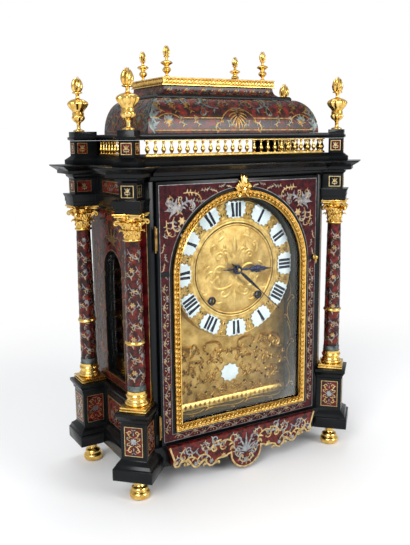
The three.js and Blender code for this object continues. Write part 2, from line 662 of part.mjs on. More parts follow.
function plinthProfile() {
  const slopeBase = FOOT_HEIGHT + PLINTH_BLOCK_HEIGHT;
  const capBase = PEDESTAL_TOP - PEDESTAL_CAP_HEIGHT;
  return [
    [PLINTH_BLOCK_REACH, FOOT_HEIGHT],
    ...profileFrom(PLINTH_SLOPE_SHARES, PLINTH_BLOCK_REACH, slopeBase, PLINTH_SLOPE_HEIGHT),
    ...profileFrom(PEDESTAL_CAP_SHARES, PEDESTAL_CAP_REACH, capBase, PEDESTAL_CAP_HEIGHT),
  ];
}

function makePlinth() {
  const profile = plinthProfile();
  const pieces = [box(
    -SIDE_DIE_X, SIDE_DIE_X, PLINTH_FRONT_Y, HALF_DEPTH, FOOT_HEIGHT, PLINTH_TOP,
  )];
  for (const side of SIDES) {
    const inner = side * (CASE_HALF_WIDTH - CASE_WALL);
    const edge = (reach) => side * (SIDE_DIE_X + reach);
    pieces.push(
      moulded((r) => turnedPlan(side, PEDESTAL_DIE_HALF + r, PEDESTAL_BACKING), profile),
      moulded((r) => backPlan(side, PEDESTAL_DIE_HALF + r, PEDESTAL_DIE_HALF + r), profile),
      moulded((r) => rectangle(
        Math.min(inner, edge(r)), Math.max(inner, edge(r)), FRONT_COLUMN_Y, BACK_COLUMN_Y,
      ), profile),
    );
  }
  const room = casePrism(SEAT_GAP, PLINTH_TOP, PEDESTAL_TOP + CUT_OVERRUN);
  return cut(union(...pieces), room, behindBack());
}

// Columns

function makeColumnBase() {
  const half = COLUMN_PLINTH_HALF;
  const plinth = box(-half, half, -half, half, SEAT_GAP, COLUMN_PLINTH_HEIGHT);
  const mouldingBase = COLUMN_PLINTH_HEIGHT - JOIN_OVERLAP;
  const mouldings = turned(
    COLUMN_TORUS_SHARES, COLUMN_TORUS_RADIUS, COLUMN_BASE_HEIGHT - mouldingBase - SEAT_GAP,
    COLUMN_SIDES,
  );
  return union(plinth, moved(mouldings, 0, 0, mouldingBase));
}

function makeShaft() {
  const ringTop = SHAFT_RING_RISE + SHAFT_RING_HEIGHT;
  const ringBulge = (SHAFT_RING_RISE + ringTop) / 2;
  const aboveRing = SHAFT_RADIUS - (SHAFT_RADIUS - SHAFT_TOP_RADIUS) / 4;
  const outline = [
    [0, 0], [SHAFT_RADIUS, 0], [SHAFT_RADIUS, SHAFT_RING_RISE],
    [SHAFT_RING_RADIUS, ringBulge - SHAFT_RING_HEIGHT / 4],
    [SHAFT_RING_RADIUS, ringBulge + SHAFT_RING_HEIGHT / 4],
    [aboveRing, ringTop], [SHAFT_TOP_RADIUS, SHAFT_HEIGHT - SEAT_GAP], [0, SHAFT_HEIGHT - SEAT_GAP],
  ];
  return spun(outline, COLUMN_SIDES);
}

// The capital: a bell with two tiers of leaves, horns under the corners of a hollowed abacus
function makeCapital() {
  const bellTop = CAPITAL_HEIGHT - ABACUS_HEIGHT - SEAT_GAP;
  const points = CAPITAL_LEAVES * 2;
  const tiers = [
    [0, 0, 0, 0], [0.38, 0.14, 1, 0], [0.45, 0.12, 0.3, 0],
    [0.7, 0.3, 1, 0.2], [0.78, 0.3, 0.4, 0.4], [1, 0.42, 0.2, 1],
  ];
  const rings = tiers.map(([heightShare, flareShare, leafShare, hornShare], tier) => {
    const ring = [];
    for (let i = 0; i < points; i += 1) {
      const angle = i * Math.PI * 2 / points + (tier > 2 ? Math.PI / CAPITAL_LEAVES : 0);
      const leaf = i % 2 === 0 ? leafShare * CAPITAL_LEAF_REACH : 0;
      const horn = Math.abs(Math.sin(angle * 2)) ** CAPITAL_HORN_SHARPNESS * hornShare * CAPITAL_HORN_REACH;
      const radius = CAPITAL_RADIUS * (1 + flareShare) + Math.max(leaf, horn);
      ring.push([Math.cos(angle) * radius, Math.sin(angle) * radius, heightShare * bellTop]);
    }
    return ring;
  });
  const tip = ABACUS_HALF;
  const waist = ABACUS_HALF - ABACUS_HOLLOW;
  const nose = ABACUS_HALF - ABACUS_HOLLOW / 2;
  const outline = [];
  for (let quarter = 0; quarter < 4; quarter += 1) {
    const c = Math.round(Math.cos(quarter * QUARTER_TURN));
    const s = Math.round(Math.sin(quarter * QUARTER_TURN));
    for (const [out, across] of [[tip, nose], [nose, tip], [waist, tip / 2], [waist, -tip / 2]]) {
      outline.push([out * s + across * c, across * s - out * c]);
    }
  }
  const ordered = outline.sort((a, b) => Math.atan2(a[1], a[0]) - Math.atan2(b[1], b[0]));
  const abacus = loft([
    ordered.map(([x, y]) => [x, y, bellTop - JOIN_OVERLAP]),
    ordered.map(([x, y]) => [x, y, bellTop + ABACUS_HEIGHT]),
  ]);
  return union(loft(rings), abacus);
}

// Case

function frontOpening() {
  const half = GLAZED_HALF_WIDTH + REVEAL_MARGIN;
  const bottom = GLAZED_BOTTOM - REVEAL_MARGIN;
  return { half, bottom };
}

function makeCase() {
  const hull = casePrism(0, CASE_BASE, CASE_TOP);
  const inner = CASE_HALF_WIDTH - CASE_WALL;
  const doorHalf = DOOR_HALF_WIDTH + DOOR_RECESS_CLEARANCE;
  const recess = box(-doorHalf, doorHalf, -HALF_DEPTH, BOARD_FRONT_Y, 0, CASE_TOP * 2);
  const cavity = box(
    -inner, inner, BOARD_BACK_Y, HALF_DEPTH + CUT_OVERRUN, CASE_FLOOR, CASE_TOP - CASE_WALL,
  );
  const { half, bottom } = frontOpening();
  const opening = archPlate(half, bottom, ARCH_CENTRE_Z, -HALF_DEPTH, 0);
  return cut(hull, recess, cavity, opening, windowTool(WINDOW_HALF_WIDTH, CASE_HALF_WIDTH + CUT_OVERRUN));
}

// The side windows' outline, run through both side walls.
function windowTool(half, halfReach) {
  const shape = archShape(half, WINDOW_BOTTOM, WINDOW_TOP - half);
  const bar = upright(shape, -halfReach, halfReach);
  return bar.rotateZ(QUARTER_TURN).translate(0, WINDOW_CENTRE_Y, 0);
}

function makeSideGlass() {
  const half = WINDOW_HALF_WIDTH - SEAT_GAP;
  const shape = archShape(half, WINDOW_BOTTOM + SEAT_GAP, WINDOW_TOP - SEAT_GAP - half);
  return upright(shape, -GLASS_THICKNESS / 2, GLASS_THICKNESS / 2).rotateZ(QUARTER_TURN);
}

function makeBackDoor() {
  const half = CASE_HALF_WIDTH - CASE_WALL - BACK_DOOR_CLEARANCE;
  const bottom = CASE_FLOOR + BACK_DOOR_CLEARANCE;
  const top = CASE_TOP - CASE_WALL - BACK_DOOR_CLEARANCE;
  const rear = BACK_DOOR_REAR_Y;
  const panel = box(-half, half, rear - BACK_DOOR_THICKNESS, rear, bottom, top);
  const knuckleX = backHingeX();
  const knuckles = [bottom + BACK_KNUCKLE_LENGTH, top - 2 * BACK_KNUCKLE_LENGTH].map((z) => barAlongZ(
    BACK_KNUCKLE_RADIUS, z, z + BACK_KNUCKLE_LENGTH, knuckleX, backHingeY(), THIN_ROD_SIDES,
  ));
  const knob = barAlongY(
    BACK_KNOB_RADIUS, rear - SEAT_GAP, rear + BACK_KNOB_LENGTH, -half + BACK_KNOB_RADIUS * 3,
    (bottom + top) / 2,
  );
  return union(panel, ...knuckles, knob);
}

function backHingeX() {
  return CASE_HALF_WIDTH - CASE_WALL - SEAT_GAP - BACK_KNUCKLE_RADIUS;
}

function backHingeY() {
  return BACK_DOOR_REAR_Y + BACK_KNUCKLE_RADIUS * BACK_KNUCKLE_SEAT_SHARE;
}

// Entablature

function makeEntablature() {
  const lower = [
    ...profileFrom(
      ARCHITRAVE_SHARES, ARCHITRAVE_REACH, ARCHITRAVE_BASE + SEAT_GAP, ARCHITRAVE_HEIGHT - SEAT_GAP,
    ),
    [0, FRIEZE_BASE],
  ];
  const upper = profileFrom(CORNICE_SHARES, CORNICE_REACH, CORNICE_BASE, CORNICE_HEIGHT);
  const whole = [...lower, ...upper];
  const pieces = [
    moulded((r) => rectangle(
      -CASE_FRONT_HALF_WIDTH, CASE_FRONT_HALF_WIDTH, FRONT_FRIEZE_Y - r, HALF_DEPTH,
    ), upper),
    moulded((r) => rectangle(
      -SIDE_FRIEZE_X - r, SIDE_FRIEZE_X + r, CANT_END_Y, HALF_DEPTH,
    ), upper),
  ];
  for (const side of SIDES) {
    const inner = side * (CASE_HALF_WIDTH - CASE_WALL);
    const edge = (reach) => side * (SIDE_FRIEZE_X + reach);
    pieces.push(
      moulded((r) => turnedPlan(side, FRIEZE_HALF + r, PEDESTAL_BACKING), whole),
      moulded((r) => backPlan(side, BACK_FRIEZE_HALF_WIDTH + r, FRIEZE_HALF + r), whole),
      moulded((r) => rectangle(
        Math.min(inner, edge(r)), Math.max(inner, edge(r)), CANT_END_Y, BACK_COLUMN_Y,
      ), whole),
    );
  }
  const room = casePrism(SEAT_GAP, ARCHITRAVE_BASE - CUT_OVERRUN, CORNICE_BASE);
  const doorHalf = DOOR_HALF_WIDTH + DOOR_RECESS_CLEARANCE;
  const doorRoom = box(
    -doorHalf, doorHalf, -HALF_DEPTH, CASE_FRONT_Y - SEAT_GAP, 0, DOOR_TOP + SEAT_GAP,
  );
  return cut(union(...pieces), room, behindBack(), doorRoom);
}

// Gallery storey

function makeCourse() {
  const base = COURSE_BASE + SEAT_GAP;
  const course = profileFrom(COURSE_SHARES, GALLERY_BASE_REACH, base, COURSE_HEIGHT - SEAT_GAP);
  const dieTop = RAIL_BASE - SEAT_GAP;
  const pieces = [moulded((r) => rectangle(
    -COURSE_SIDE_X - r, COURSE_SIDE_X + r, COURSE_FRONT_Y - r, GALLERY_BACK_Y,
  ), course)];
  for (const side of SIDES) {
    const half = (r) => GALLERY_DIE_HALF + r;
    const post = [side * BACK_POST_INNER_X, side * COURSE_SIDE_X];
    pieces.push(
      moulded((r) => turnedPlan(side, half(r), half(r)), [...course, [0, dieTop]]),
      moulded((r) => backPlan(side, half(r), half(r)), [...course, [0, dieTop]]),
      box(
        Math.min(...post), Math.max(...post), GALLERY_BACK_Y - BACK_POST_DEPTH, GALLERY_BACK_Y,
        base, dieTop,
      ),
    );
  }
  return union(...pieces);
}

function makeRail() {
  const railFront = COURSE_FRONT_Y;
  const rail = profileFrom(RAIL_SHARES, RAIL_REACH, RAIL_BASE, RAIL_HEIGHT);
  const blockTop = RAIL_BASE + FINIAL_BLOCK_HEIGHT;
  const cap = [
    [0, RAIL_BASE], [GALLERY_CAP_REACH, RAIL_BASE + FINIAL_CAP_HEIGHT / 3],
    [GALLERY_CAP_REACH, RAIL_BASE + FINIAL_CAP_HEIGHT], [FINIAL_BLOCK_REACH, RAIL_BASE + FINIAL_CAP_HEIGHT],
    [FINIAL_BLOCK_REACH, blockTop],
  ];
  const pieces = [moulded((r) => rectangle(
    -COURSE_SIDE_X - r, COURSE_SIDE_X + r, railFront - r, GALLERY_BACK_Y,
  ), rail)];
  for (const side of SIDES) {
    const half = (r) => GALLERY_DIE_HALF + r;
    pieces.push(
      moulded((r) => turnedPlan(side, half(r), half(r)), cap),
      moulded((r) => backPlan(side, half(r), half(r)), cap),
    );
  }
  return union(...pieces);
}

// One run of the balustrade along X, centred on the origin, with its foot and top strips.
function makeBalustrade(count, run) {
  const end = run / 2 + STRIP_END;
  const strip = (z0, z1) => box(-end, end, -STRIP_HALF_WIDTH, STRIP_HALF_WIDTH, z0, z1);
  const topBase = BALUSTRADE_HEIGHT - TOP_STRIP_HEIGHT - SEAT_GAP;
  const overlap = TOP_STRIP_HEIGHT / 4;
  const outline = [
    [0, BASE_STRIP_HEIGHT - overlap],
    ...BALUSTER_SHARES.map(([r, z]) => [
      r * BALUSTER_RADIUS,
      BASE_STRIP_HEIGHT - overlap + z * (topBase - BASE_STRIP_HEIGHT + 2 * overlap),
    ]),
    [0, topBase + overlap],
  ];
  const baluster = spun(outline, BALUSTER_SIDES);
  const pieces = [
    strip(SEAT_GAP, BASE_STRIP_HEIGHT),
    strip(topBase, BALUSTRADE_HEIGHT - SEAT_GAP),
  ];
  for (let i = 0; i < count; i += 1) {
    pieces.push(moved(baluster, (i / (count - 1) - 1 / 2) * run, 0, 0));
  }
  return union(...pieces);
}

function addBalustrades() {
  const frontRun = 2 * (FRONT_COLUMN_X - GALLERY_DIE_HALF * Math.SQRT2 - FRONT_RUN_END_GAP);
  const front = addPart("gallery_front", makeBalustrade(FRONT_BALUSTERS, frontRun), GILT);
  front.position.set(0, COURSE_FRONT_Y + BALUSTER_LINE_INSET, BALUSTRADE_BASE);
  const frontEnd = COURSE_FRONT_Y + BALUSTER_LINE_INSET + STRIP_HALF_WIDTH;
  const backEnd = BACK_COLUMN_Y - GALLERY_DIE_HALF;
  const run = makeBalustrade(SIDE_BALUSTERS, backEnd - frontEnd - 2 * SIDE_RUN_END_GAP);
  for (const side of SIDES) {
    const name = side < 0 ? "gallery_left" : "gallery_right";
    const mesh = addPart(name, run, GILT);
    mesh.position.set(
      side * (COURSE_SIDE_X - BALUSTER_LINE_INSET), (frontEnd + backEnd) / 2, BALUSTRADE_BASE,
    );
    mesh.rotation.z = QUARTER_TURN;
  }
}

// Dome: a cushion with three curved sides and a flat back, a black moulding and a hollow neck

function domePlan(inset, backReach = 0) {
  return rectangle(
    -DOME_HALF_WIDTH + inset, DOME_HALF_WIDTH - inset, DOME_FRONT_Y + inset,
    DOME_BACK_Y + backReach,
  );
}

function makeDome() {
  const profile = [];
  for (let i = 0; i <= DOME_STEPS; i += 1) {
    const angle = i / DOME_STEPS * QUARTER_TURN;
    const seat = i === 0 ? SEAT_GAP : 0;
    profile.push([
      DOME_INSET * (1 - Math.cos(angle)), DOME_BASE + seat + DOME_HEIGHT * Math.sin(angle),
    ]);
  }
  const mouldingBase = DOME_BASE + DOME_HEIGHT;
  const mouldingTop = mouldingBase + DOME_MOULDING_HEIGHT;
  profile.push(
    [DOME_INSET - DOME_MOULDING_REACH, mouldingBase],
    [DOME_INSET - DOME_MOULDING_REACH, mouldingTop - DOME_MOULDING_REACH],
    [DOME_INSET, mouldingTop],
    ...NECK_SHARES.map(([inset, z]) => [
      DOME_INSET + NECK_LEDGE + inset * NECK_INSET, mouldingTop + z * (NECK_HEIGHT - SEAT_GAP),
    ]),
  );
  return moulded((inset) => domePlan(inset), profile);
}

function makeBorder() {
  const profile = profileFrom(BORDER_SHARES, BORDER_ROUND, BORDER_BASE, BORDER_HEIGHT);
  return moulded((r) => domePlan(BORDER_INSET + r, BORDER_BACK_REACH - r), profile);
}

// Door

function makeDoorFrame() {
  const frame = box(
    -DOOR_HALF_WIDTH, DOOR_HALF_WIDTH, DOOR_FACE_Y, DOOR_BACK_Y, DOOR_BOTTOM, DOOR_TOP,
  );
  const opening = archPlate(
    GLAZED_HALF_WIDTH + GLASS_REBATE, GLAZED_BOTTOM - GLASS_REBATE, ARCH_CENTRE_Z,
    DOOR_FACE_Y - CUT_OVERRUN, DOOR_BACK_Y + CUT_OVERRUN,
  );
  const spindleHole = barAlongY(
    CATCH_SPINDLE_RADIUS + RUNNING_GAP, DOOR_FACE_Y - CUT_OVERRUN,
    DOOR_FACE_Y + CATCH_SPINDLE_LENGTH + RUNNING_GAP, CATCH_X, CATCH_Z,
  );
  return cut(frame, opening, spindleHole);
}

function makeBezel() {
  const outer = archShape(
    GLAZED_HALF_WIDTH + BEZEL_WIDTH - BEZEL_BEVEL, GLAZED_BOTTOM - BEZEL_WIDTH + BEZEL_BEVEL,
    ARCH_CENTRE_Z,
  );
  outer.holes.push(archShape(
    GLAZED_HALF_WIDTH + BEZEL_BEVEL, GLAZED_BOTTOM + BEZEL_BEVEL, ARCH_CENTRE_Z,
  ));
  const ring = new THREE.ExtrudeGeometry(outer, {
    depth: BEZEL_THICKNESS - 2 * BEZEL_BEVEL, bevelEnabled: true, bevelSegments: 1,
    bevelThickness: BEZEL_BEVEL, bevelSize: BEZEL_BEVEL, curveSegments: ARCH_STEPS,
  });
  ring.rotateX(QUARTER_TURN);
  ring.translate(0, DOOR_FACE_Y - SEAT_GAP - BEZEL_BEVEL, 0);
  const half = BEZEL_CREST_SHARES.map(([x, z]) => [x * CREST_HALF_WIDTH, z * CREST_HEIGHT]);
  const left = half.slice(0, -1).reverse().map(([x, z]) => [-x, z]);
  const crestFront = DOOR_FACE_Y - SEAT_GAP - BEZEL_THICKNESS - CREST_THICKNESS / 2;
  const crest = moved(
    upright(shapeFrom([...half, ...left]), crestFront, crestFront + CREST_THICKNESS),
    0, 0, ARCH_CENTRE_Z + GLAZED_HALF_WIDTH + BEZEL_WIDTH / 2 + CREST_RISE - BEZEL_BEVEL,
  );
  return union(closed(ring), crest);
}

function makeDoorGlass() {
  const half = GLAZED_HALF_WIDTH + GLASS_REBATE - SEAT_GAP;
  const bottom = GLAZED_BOTTOM - GLASS_REBATE + SEAT_GAP;
  return archPlate(half, bottom, ARCH_CENTRE_Z, DOOR_FACE_Y, DOOR_FACE_Y + GLASS_THICKNESS);
}

function makeHinge() {
  const leafX = HINGE_X - HINGE_LEAF_WIDTH / 2;
  const knuckle = barAlongZ(HINGE_RADIUS, 0, HINGE_LENGTH, HINGE_X, HINGE_Y);
  const leaf = box(
    leafX - HINGE_LEAF_WIDTH / 2 - HINGE_RADIUS / 2, leafX, HINGE_Y, CASE_FRONT_Y - SEAT_GAP,
    0, HINGE_LENGTH,
  );
  return union(knuckle, leaf);
}

// The turning catch is drawn about its own spindle, with its lever hanging down.
function makeCatch() {
  const knob = barAlongY(CATCH_RADIUS, -CATCH_LENGTH, -SEAT_GAP, 0, 0);
  const spindle = barAlongY(CATCH_SPINDLE_RADIUS, -CATCH_LENGTH / 2, CATCH_SPINDLE_LENGTH, 0, 0);
  const lever = box(
    -CATCH_RADIUS / 3, CATCH_RADIUS / 3, -CATCH_LENGTH, -CATCH_LENGTH / 2, -CATCH_LEVER, 0,
  );
  return union(knob, spindle, lever);
}

function makeApron() {
  const scale = ([x, z]) => [x * APRON_HALF_WIDTH, (z - 1) * APRON_DROP];
  const edge = APRON_EDGE_SHARES.map(scale);
  const lobe = [];
  const lobeZ = (APRON_LOBE_CENTRE_SHARE - 1) * APRON_DROP;
  const lobeRadius = APRON_LOBE_RADIUS_SHARE * APRON_HALF_WIDTH;
  for (let i = 0; i <= APRON_LOBE_STEPS; i += 1) {
    const angle = i / APRON_LOBE_STEPS * QUARTER_TURN;
    lobe.push([Math.cos(angle) * lobeRadius, lobeZ - Math.sin(angle) * lobeRadius]);
  }
  const right = [...edge, ...lobe];
  const left = right.slice(0, -1).reverse().map(([x, z]) => [-x, z]);
  return moved(
    upright(shapeFrom([...right, ...left]), APRON_FRONT_Y, APRON_FRONT_Y + APRON_THICKNESS),
    0, 0, PLINTH_TOP - SEAT_GAP,
  );
}

// Dial

function makeReveal() {
  const { half, bottom } = frontOpening();
  const outerHalf = half - SEAT_GAP;
  const innerHalf = outerHalf - REVEAL_LINING;
  const outer = archPlate(outerHalf, bottom + SEAT_GAP, ARCH_CENTRE_Z, BOARD_FRONT_Y, BOARD_BACK_Y);
  const inner = archPlate(
    innerHalf, bottom + SEAT_GAP + REVEAL_LINING, ARCH_CENTRE_Z,
    BOARD_FRONT_Y - CUT_OVERRUN, BOARD_BACK_Y + CUT_OVERRUN,
  );
  return cut(outer, inner);
}

function makeDialPlate() {
  const { half, bottom } = frontOpening();
  const plate = archPlate(
    half + DIAL_PLATE_MARGIN, bottom - DIAL_PLATE_MARGIN, ARCH_CENTRE_Z, DIAL_PLATE_Y, DIAL_BACK_Y,
  );
  const centre = barAlongY(
    CENTRE_RADIUS, CENTRE_FRONT_Y, DIAL_BACK_Y, 0, DIAL_CENTRE_Z, RING_SIDES,
  );
  const front = CENTRE_FRONT_Y - CUT_OVERRUN;
  const back = DIAL_BACK_Y + CUT_OVERRUN;
  const pipeHole = barAlongY(HOUR_PIPE_RADIUS + RUNNING_GAP, front, back, 0, DIAL_CENTRE_Z);
  const collars = SIDES.map((side) => barAlongY(
    WINDING_COLLAR_RADIUS, CENTRE_FRONT_Y - WINDING_COLLAR_RISE, CENTRE_FRONT_Y + CUT_OVERRUN,
    side * BARREL_X, BARREL_Z,
  ));
  const holes = SIDES.map((side) => barAlongY(
    WINDING_HOLE_RADIUS, front, back, side * BARREL_X, BARREL_Z,
  ));
  return cut(union(plate, centre, ...collars), pipeHole, ...holes);
}

// The ring is a hollow casting's outer form, with twelve cartouches standing on it.
function makeDialRing() {
  const inner = CENTRE_RADIUS + SEAT_GAP;
  const width = RING_RADIUS - inner;
  const outline = RING_SHARES.map(([across, rise]) => new THREE.Vector2(
    inner + across * width, rise * RING_RISE,
  ));
  outline.push(outline[0].clone());
  const geometry = new THREE.LatheGeometry(outline, RING_SIDES);
  const pieces = [closed(geometry.rotateX(Math.PI))];
  const plate = upright(shapeFrom(CARTOUCHE_SHARES.map(([x, z]) => [
    x * CARTOUCHE_HALF_WIDTH, CARTOUCHE_RADIUS + z * CARTOUCHE_HALF_HEIGHT,
  ])), -RING_RISE - CARTOUCHE_RISE, -RING_RISE / 2);
  for (let hour = 0; hour < HOURS; hour += 1) {
    pieces.push(plate.clone().rotateY(hour * Math.PI * 2 / HOURS));
  }
  return union(...pieces);
}

function makePlaque() {
  const points = [];
  for (let i = 0; i < PLAQUE_LOBES * 2; i += 1) {
    const angle = i * Math.PI / PLAQUE_LOBES;
    const radius = i % 2 === 0 ? PLAQUE_RADIUS : PLAQUE_RADIUS * PLAQUE_VALLEY_SHARE;
    points.push([Math.sin(angle) * radius, Math.cos(angle) * radius]);
  }
  return upright(shapeFrom(points.reverse()), -PLAQUE_THICKNESS, 0);
}

// Hands: drawn pointing up, then turned to their hour on the arbor

function handOutline(shares, length, tail, tailWidth) {
  const right = shares.map(([along, across]) => [across * length, along * length]);
  const left = right.slice(0, -1).reverse().map(([x, z]) => [-x, z]);
  return shapeFrom([[0, -tail], [tailWidth, 0], ...right, ...left, [-tailWidth, 0]]);
}

function makeHand(shares, length, tail, bossRadius, boreRadius) {
  const blade = upright(
    handOutline(shares, length, tail, bossRadius / 3), -HAND_THICKNESS, 0,
  );
  const boss = barAlongY(bossRadius, -HAND_THICKNESS, 0, 0, 0);
  const bore = barAlongY(boreRadius, -HAND_THICKNESS * 2, HAND_THICKNESS, 0, 0);
  return cut(union(blade, boss), bore);
}

// Motion work: wheels with trapezoid teeth, each cut from one outline

function gear(teeth, pitchRadius, toothOffset) {
  const pitch = Math.PI * 2 / teeth;
  const module = pitchRadius * 2 / teeth;
  const points = [];
  for (let tooth = 0; tooth < teeth; tooth += 1) {
    const middle = (tooth + toothOffset) * pitch;
    const half = TOOTH_SHARES.map(([angle, rise]) => [angle * pitch, pitchRadius + rise * module]);
    const flanks = [
      ...half.map(([angle, radius]) => [middle - angle, radius]),
      ...half.slice().reverse().map(([angle, radius]) => [middle + angle, radius]),
    ];
    for (const [angle, radius] of flanks) {
      points.push([Math.cos(angle) * radius, Math.sin(angle) * radius]);
    }
  }
  return shapeFrom(points);
}

function wheel(teeth, pitchRadius, toothOffset, y0) {
  return upright(gear(teeth, pitchRadius, toothOffset), y0, y0 + GEAR_THICKNESS);
}

function motionWork() {
  const hourWheelY = DIAL_BACK_Y + GEAR_SPACING;
  const minuteWheelY = hourWheelY + GEAR_THICKNESS + GEAR_SPACING;
  const first = MOTION_CENTRES / (CANNON_TEETH + MINUTE_WHEEL_TEETH);
  const second = MOTION_CENTRES / (MINUTE_PINION_TEETH + HOUR_WHEEL_TEETH);
  const angle = MINUTE_STUD_ANGLE;
  const studX = Math.cos(angle) * MOTION_CENTRES;
  const studZ = DIAL_CENTRE_Z + Math.sin(angle) * MOTION_CENTRES;
  return { hourWheelY, minuteWheelY, first, second, angle, studX, studZ };
}

// The tooth offset that puts a gap on the line of centres, seen from the other wheel.
function offsetFacing(teeth, angle, share) {
  return angle / (Math.PI * 2 / teeth) + share;
}

function makeCannonWheel() {
  const { minuteWheelY, first, angle } = motionWork();
  const offset = offsetFacing(CANNON_TEETH, angle, 0);
  const teeth = wheel(CANNON_TEETH, CANNON_TEETH * first, offset, minuteWheelY);
  const arbor = barAlongY(
    ARBOR_RADIUS, MINUTE_HAND_Y - HAND_THICKNESS * 2, FRONT_PLATE_Y + MOVEMENT_PLATE * 2, 0, 0,
  );
  return union(teeth, arbor);
}

function makeMinuteWheel() {
  const { hourWheelY, minuteWheelY, first, second, angle } = motionWork();
  const back = angle + Math.PI;
  const teeth = wheel(
    MINUTE_WHEEL_TEETH, MINUTE_WHEEL_TEETH * first,
    offsetFacing(MINUTE_WHEEL_TEETH, back, 0.5), minuteWheelY,
  );
  const pinion = wheel(
    MINUTE_PINION_TEETH, MINUTE_PINION_TEETH * second,
    offsetFacing(MINUTE_PINION_TEETH, back, 0), hourWheelY,
  );
  const hub = barAlongY(
    MINUTE_PINION_TEETH * second - GEAR_THICKNESS, hourWheelY, minuteWheelY + GEAR_THICKNESS, 0, 0,
  );
  const bore = barAlongY(
    MINUTE_STUD_RADIUS + RUNNING_GAP, hourWheelY - CUT_OVERRUN, minuteWheelY + CUT_OVERRUN, 0, 0,
  );
  return cut(union(teeth, pinion, hub), bore);
}

function makeHourWheel() {
  const { hourWheelY, second, angle } = motionWork();
  const teeth = wheel(
    HOUR_WHEEL_TEETH, HOUR_WHEEL_TEETH * second,
    offsetFacing(HOUR_WHEEL_TEETH, angle, 0.5), hourWheelY,
  );
  const pipe = barAlongY(HOUR_PIPE_RADIUS, HOUR_HAND_Y - HAND_THICKNESS, hourWheelY, 0, 0);
  const bore = barAlongY(
    ARBOR_RADIUS + RUNNING_GAP, HOUR_HAND_Y - CUT_OVERRUN, hourWheelY + CUT_OVERRUN, 0, 0,
  );
  return cut(union(teeth, pipe), bore);
}

// Movement

function makeMovementFrame() {
  const { hourWheelY, studX, studZ } = motionWork();
  const plate = (y) => box(
    -MOVEMENT_HALF_WIDTH, MOVEMENT_HALF_WIDTH, y, y + MOVEMENT_PLATE, MOVEMENT_BOTTOM, MOVEMENT_TOP,
  );
  const pillarX = MOVEMENT_HALF_WIDTH - PILLAR_INSET;
  const pillarZ = [MOVEMENT_BOTTOM + PILLAR_INSET, MOVEMENT_TOP - PILLAR_INSET];
  const front = FRONT_PLATE_Y + MOVEMENT_PLATE / 2;
  const back = BACK_PLATE_Y + MOVEMENT_PLATE / 2;
  const pieces = [plate(FRONT_PLATE_Y), plate(BACK_PLATE_Y)];
  for (const side of SIDES) {
    for (const z of pillarZ) {
      pieces.push(
        barAlongY(PILLAR_RADIUS, front, back, side * pillarX, z, THIN_ROD_SIDES),
        barAlongY(DIAL_FOOT_RADIUS, DIAL_BACK_Y + SEAT_GAP, front, side * pillarX, z, THIN_ROD_SIDES),
      );
    }
  }
  pieces.push(
    barAlongY(PILLAR_RADIUS, front, back, 0, MOVEMENT_TOP - PILLAR_RADIUS, THIN_ROD_SIDES),
    barAlongZ(
      BELL_POST_RADIUS, MOVEMENT_TOP - PILLAR_RADIUS, bellCrownZ() - BELL_WALL - 2 * SEAT_GAP,
      0, MOVEMENT_MIDDLE_Y,
    ),
    barAlongY(MINUTE_STUD_RADIUS, hourWheelY, front, studX, studZ),
  );
  const holes = [
    [ARBOR_RADIUS, 0, DIAL_CENTRE_Z], [PALLET_RADIUS, 0, PALLET_Z],
    [HAMMER_ARBOR_RADIUS, HAMMER_X, HAMMER_Z],
    ...SIDES.map((side) => [BARREL_ARBOR_RADIUS, side * BARREL_X, BARREL_Z]),
  ].map(([radius, x, z]) => barAlongY(
    radius + RUNNING_GAP, FRONT_PLATE_Y - CUT_OVERRUN, BACK_PLATE_Y + CUT_OVERRUN, x, z,
  ));
  const plates = cut(union(pieces[0], pieces[1]), ...holes);
  return union(plates, ...pieces.slice(2));
}

// A spring barrel on its winding arbor; the square end stands just inside the dial.
function makeBarrel() {
  const front = FRONT_PLATE_Y + MOVEMENT_PLATE + END_SHAKE;
  const back = BACK_PLATE_Y - END_SHAKE;
  const drum = barAlongY(BARREL_RADIUS, front, back, 0, 0, DRUM_SIDES);
  const greatWheel = barAlongY(
    GREAT_WHEEL_RADIUS, back - GREAT_WHEEL_THICKNESS, back, 0, 0, DRUM_SIDES,
  );
  const shoulder = FRONT_PLATE_Y - END_SHAKE;
  const arbor = barAlongY(
    BARREL_ARBOR_RADIUS, shoulder, BACK_PLATE_Y + MOVEMENT_PLATE + END_SHAKE, 0, 0,
  );
  const half = WINDING_SQUARE / 2;
  const square = box(
    -half, half, CENTRE_FRONT_Y + WINDING_SQUARE_SET_IN, shoulder + END_SHAKE / 2, -half, half,
  );
  return union(drum, greatWheel, arbor, square);
}

// The pallets, their arbor and the crutch that reaches the pendulum
function makePallets() {
  const arbor = barAlongY(
    PALLET_RADIUS, FRONT_PLATE_Y + MOVEMENT_PLATE / 2, pendulumY() + BOB_THICKNESS / 2, 0, 0,
  );
  const y0 = BACK_PLATE_Y - PALLET_SPAN;
  const anchor = upright(shapeFrom([
    [-PALLET_SPAN, -PALLET_DROP], [-PALLET_SPAN + PALLET_THICKNESS, -PALLET_DROP],
    [0, -PALLET_THICKNESS], [PALLET_SPAN - PALLET_THICKNESS, -PALLET_DROP],
    [PALLET_SPAN, -PALLET_DROP], [PALLET_THICKNESS, PALLET_THICKNESS],
    [-PALLET_THICKNESS, PALLET_THICKNESS],
  ]), y0, y0 + PALLET_THICKNESS);
  const crutchY = BACK_PLATE_Y + MOVEMENT_PLATE + END_SHAKE;
  const crutch = box(
    -PALLET_RADIUS, PALLET_RADIUS, crutchY, crutchY + END_SHAKE, -CRUTCH_LENGTH, 0,
  );
  return union(arbor, anchor, crutch);
}

function pendulumY() {
  return BACK_PLATE_Y + MOVEMENT_PLATE + PENDULUM_BEHIND;
}

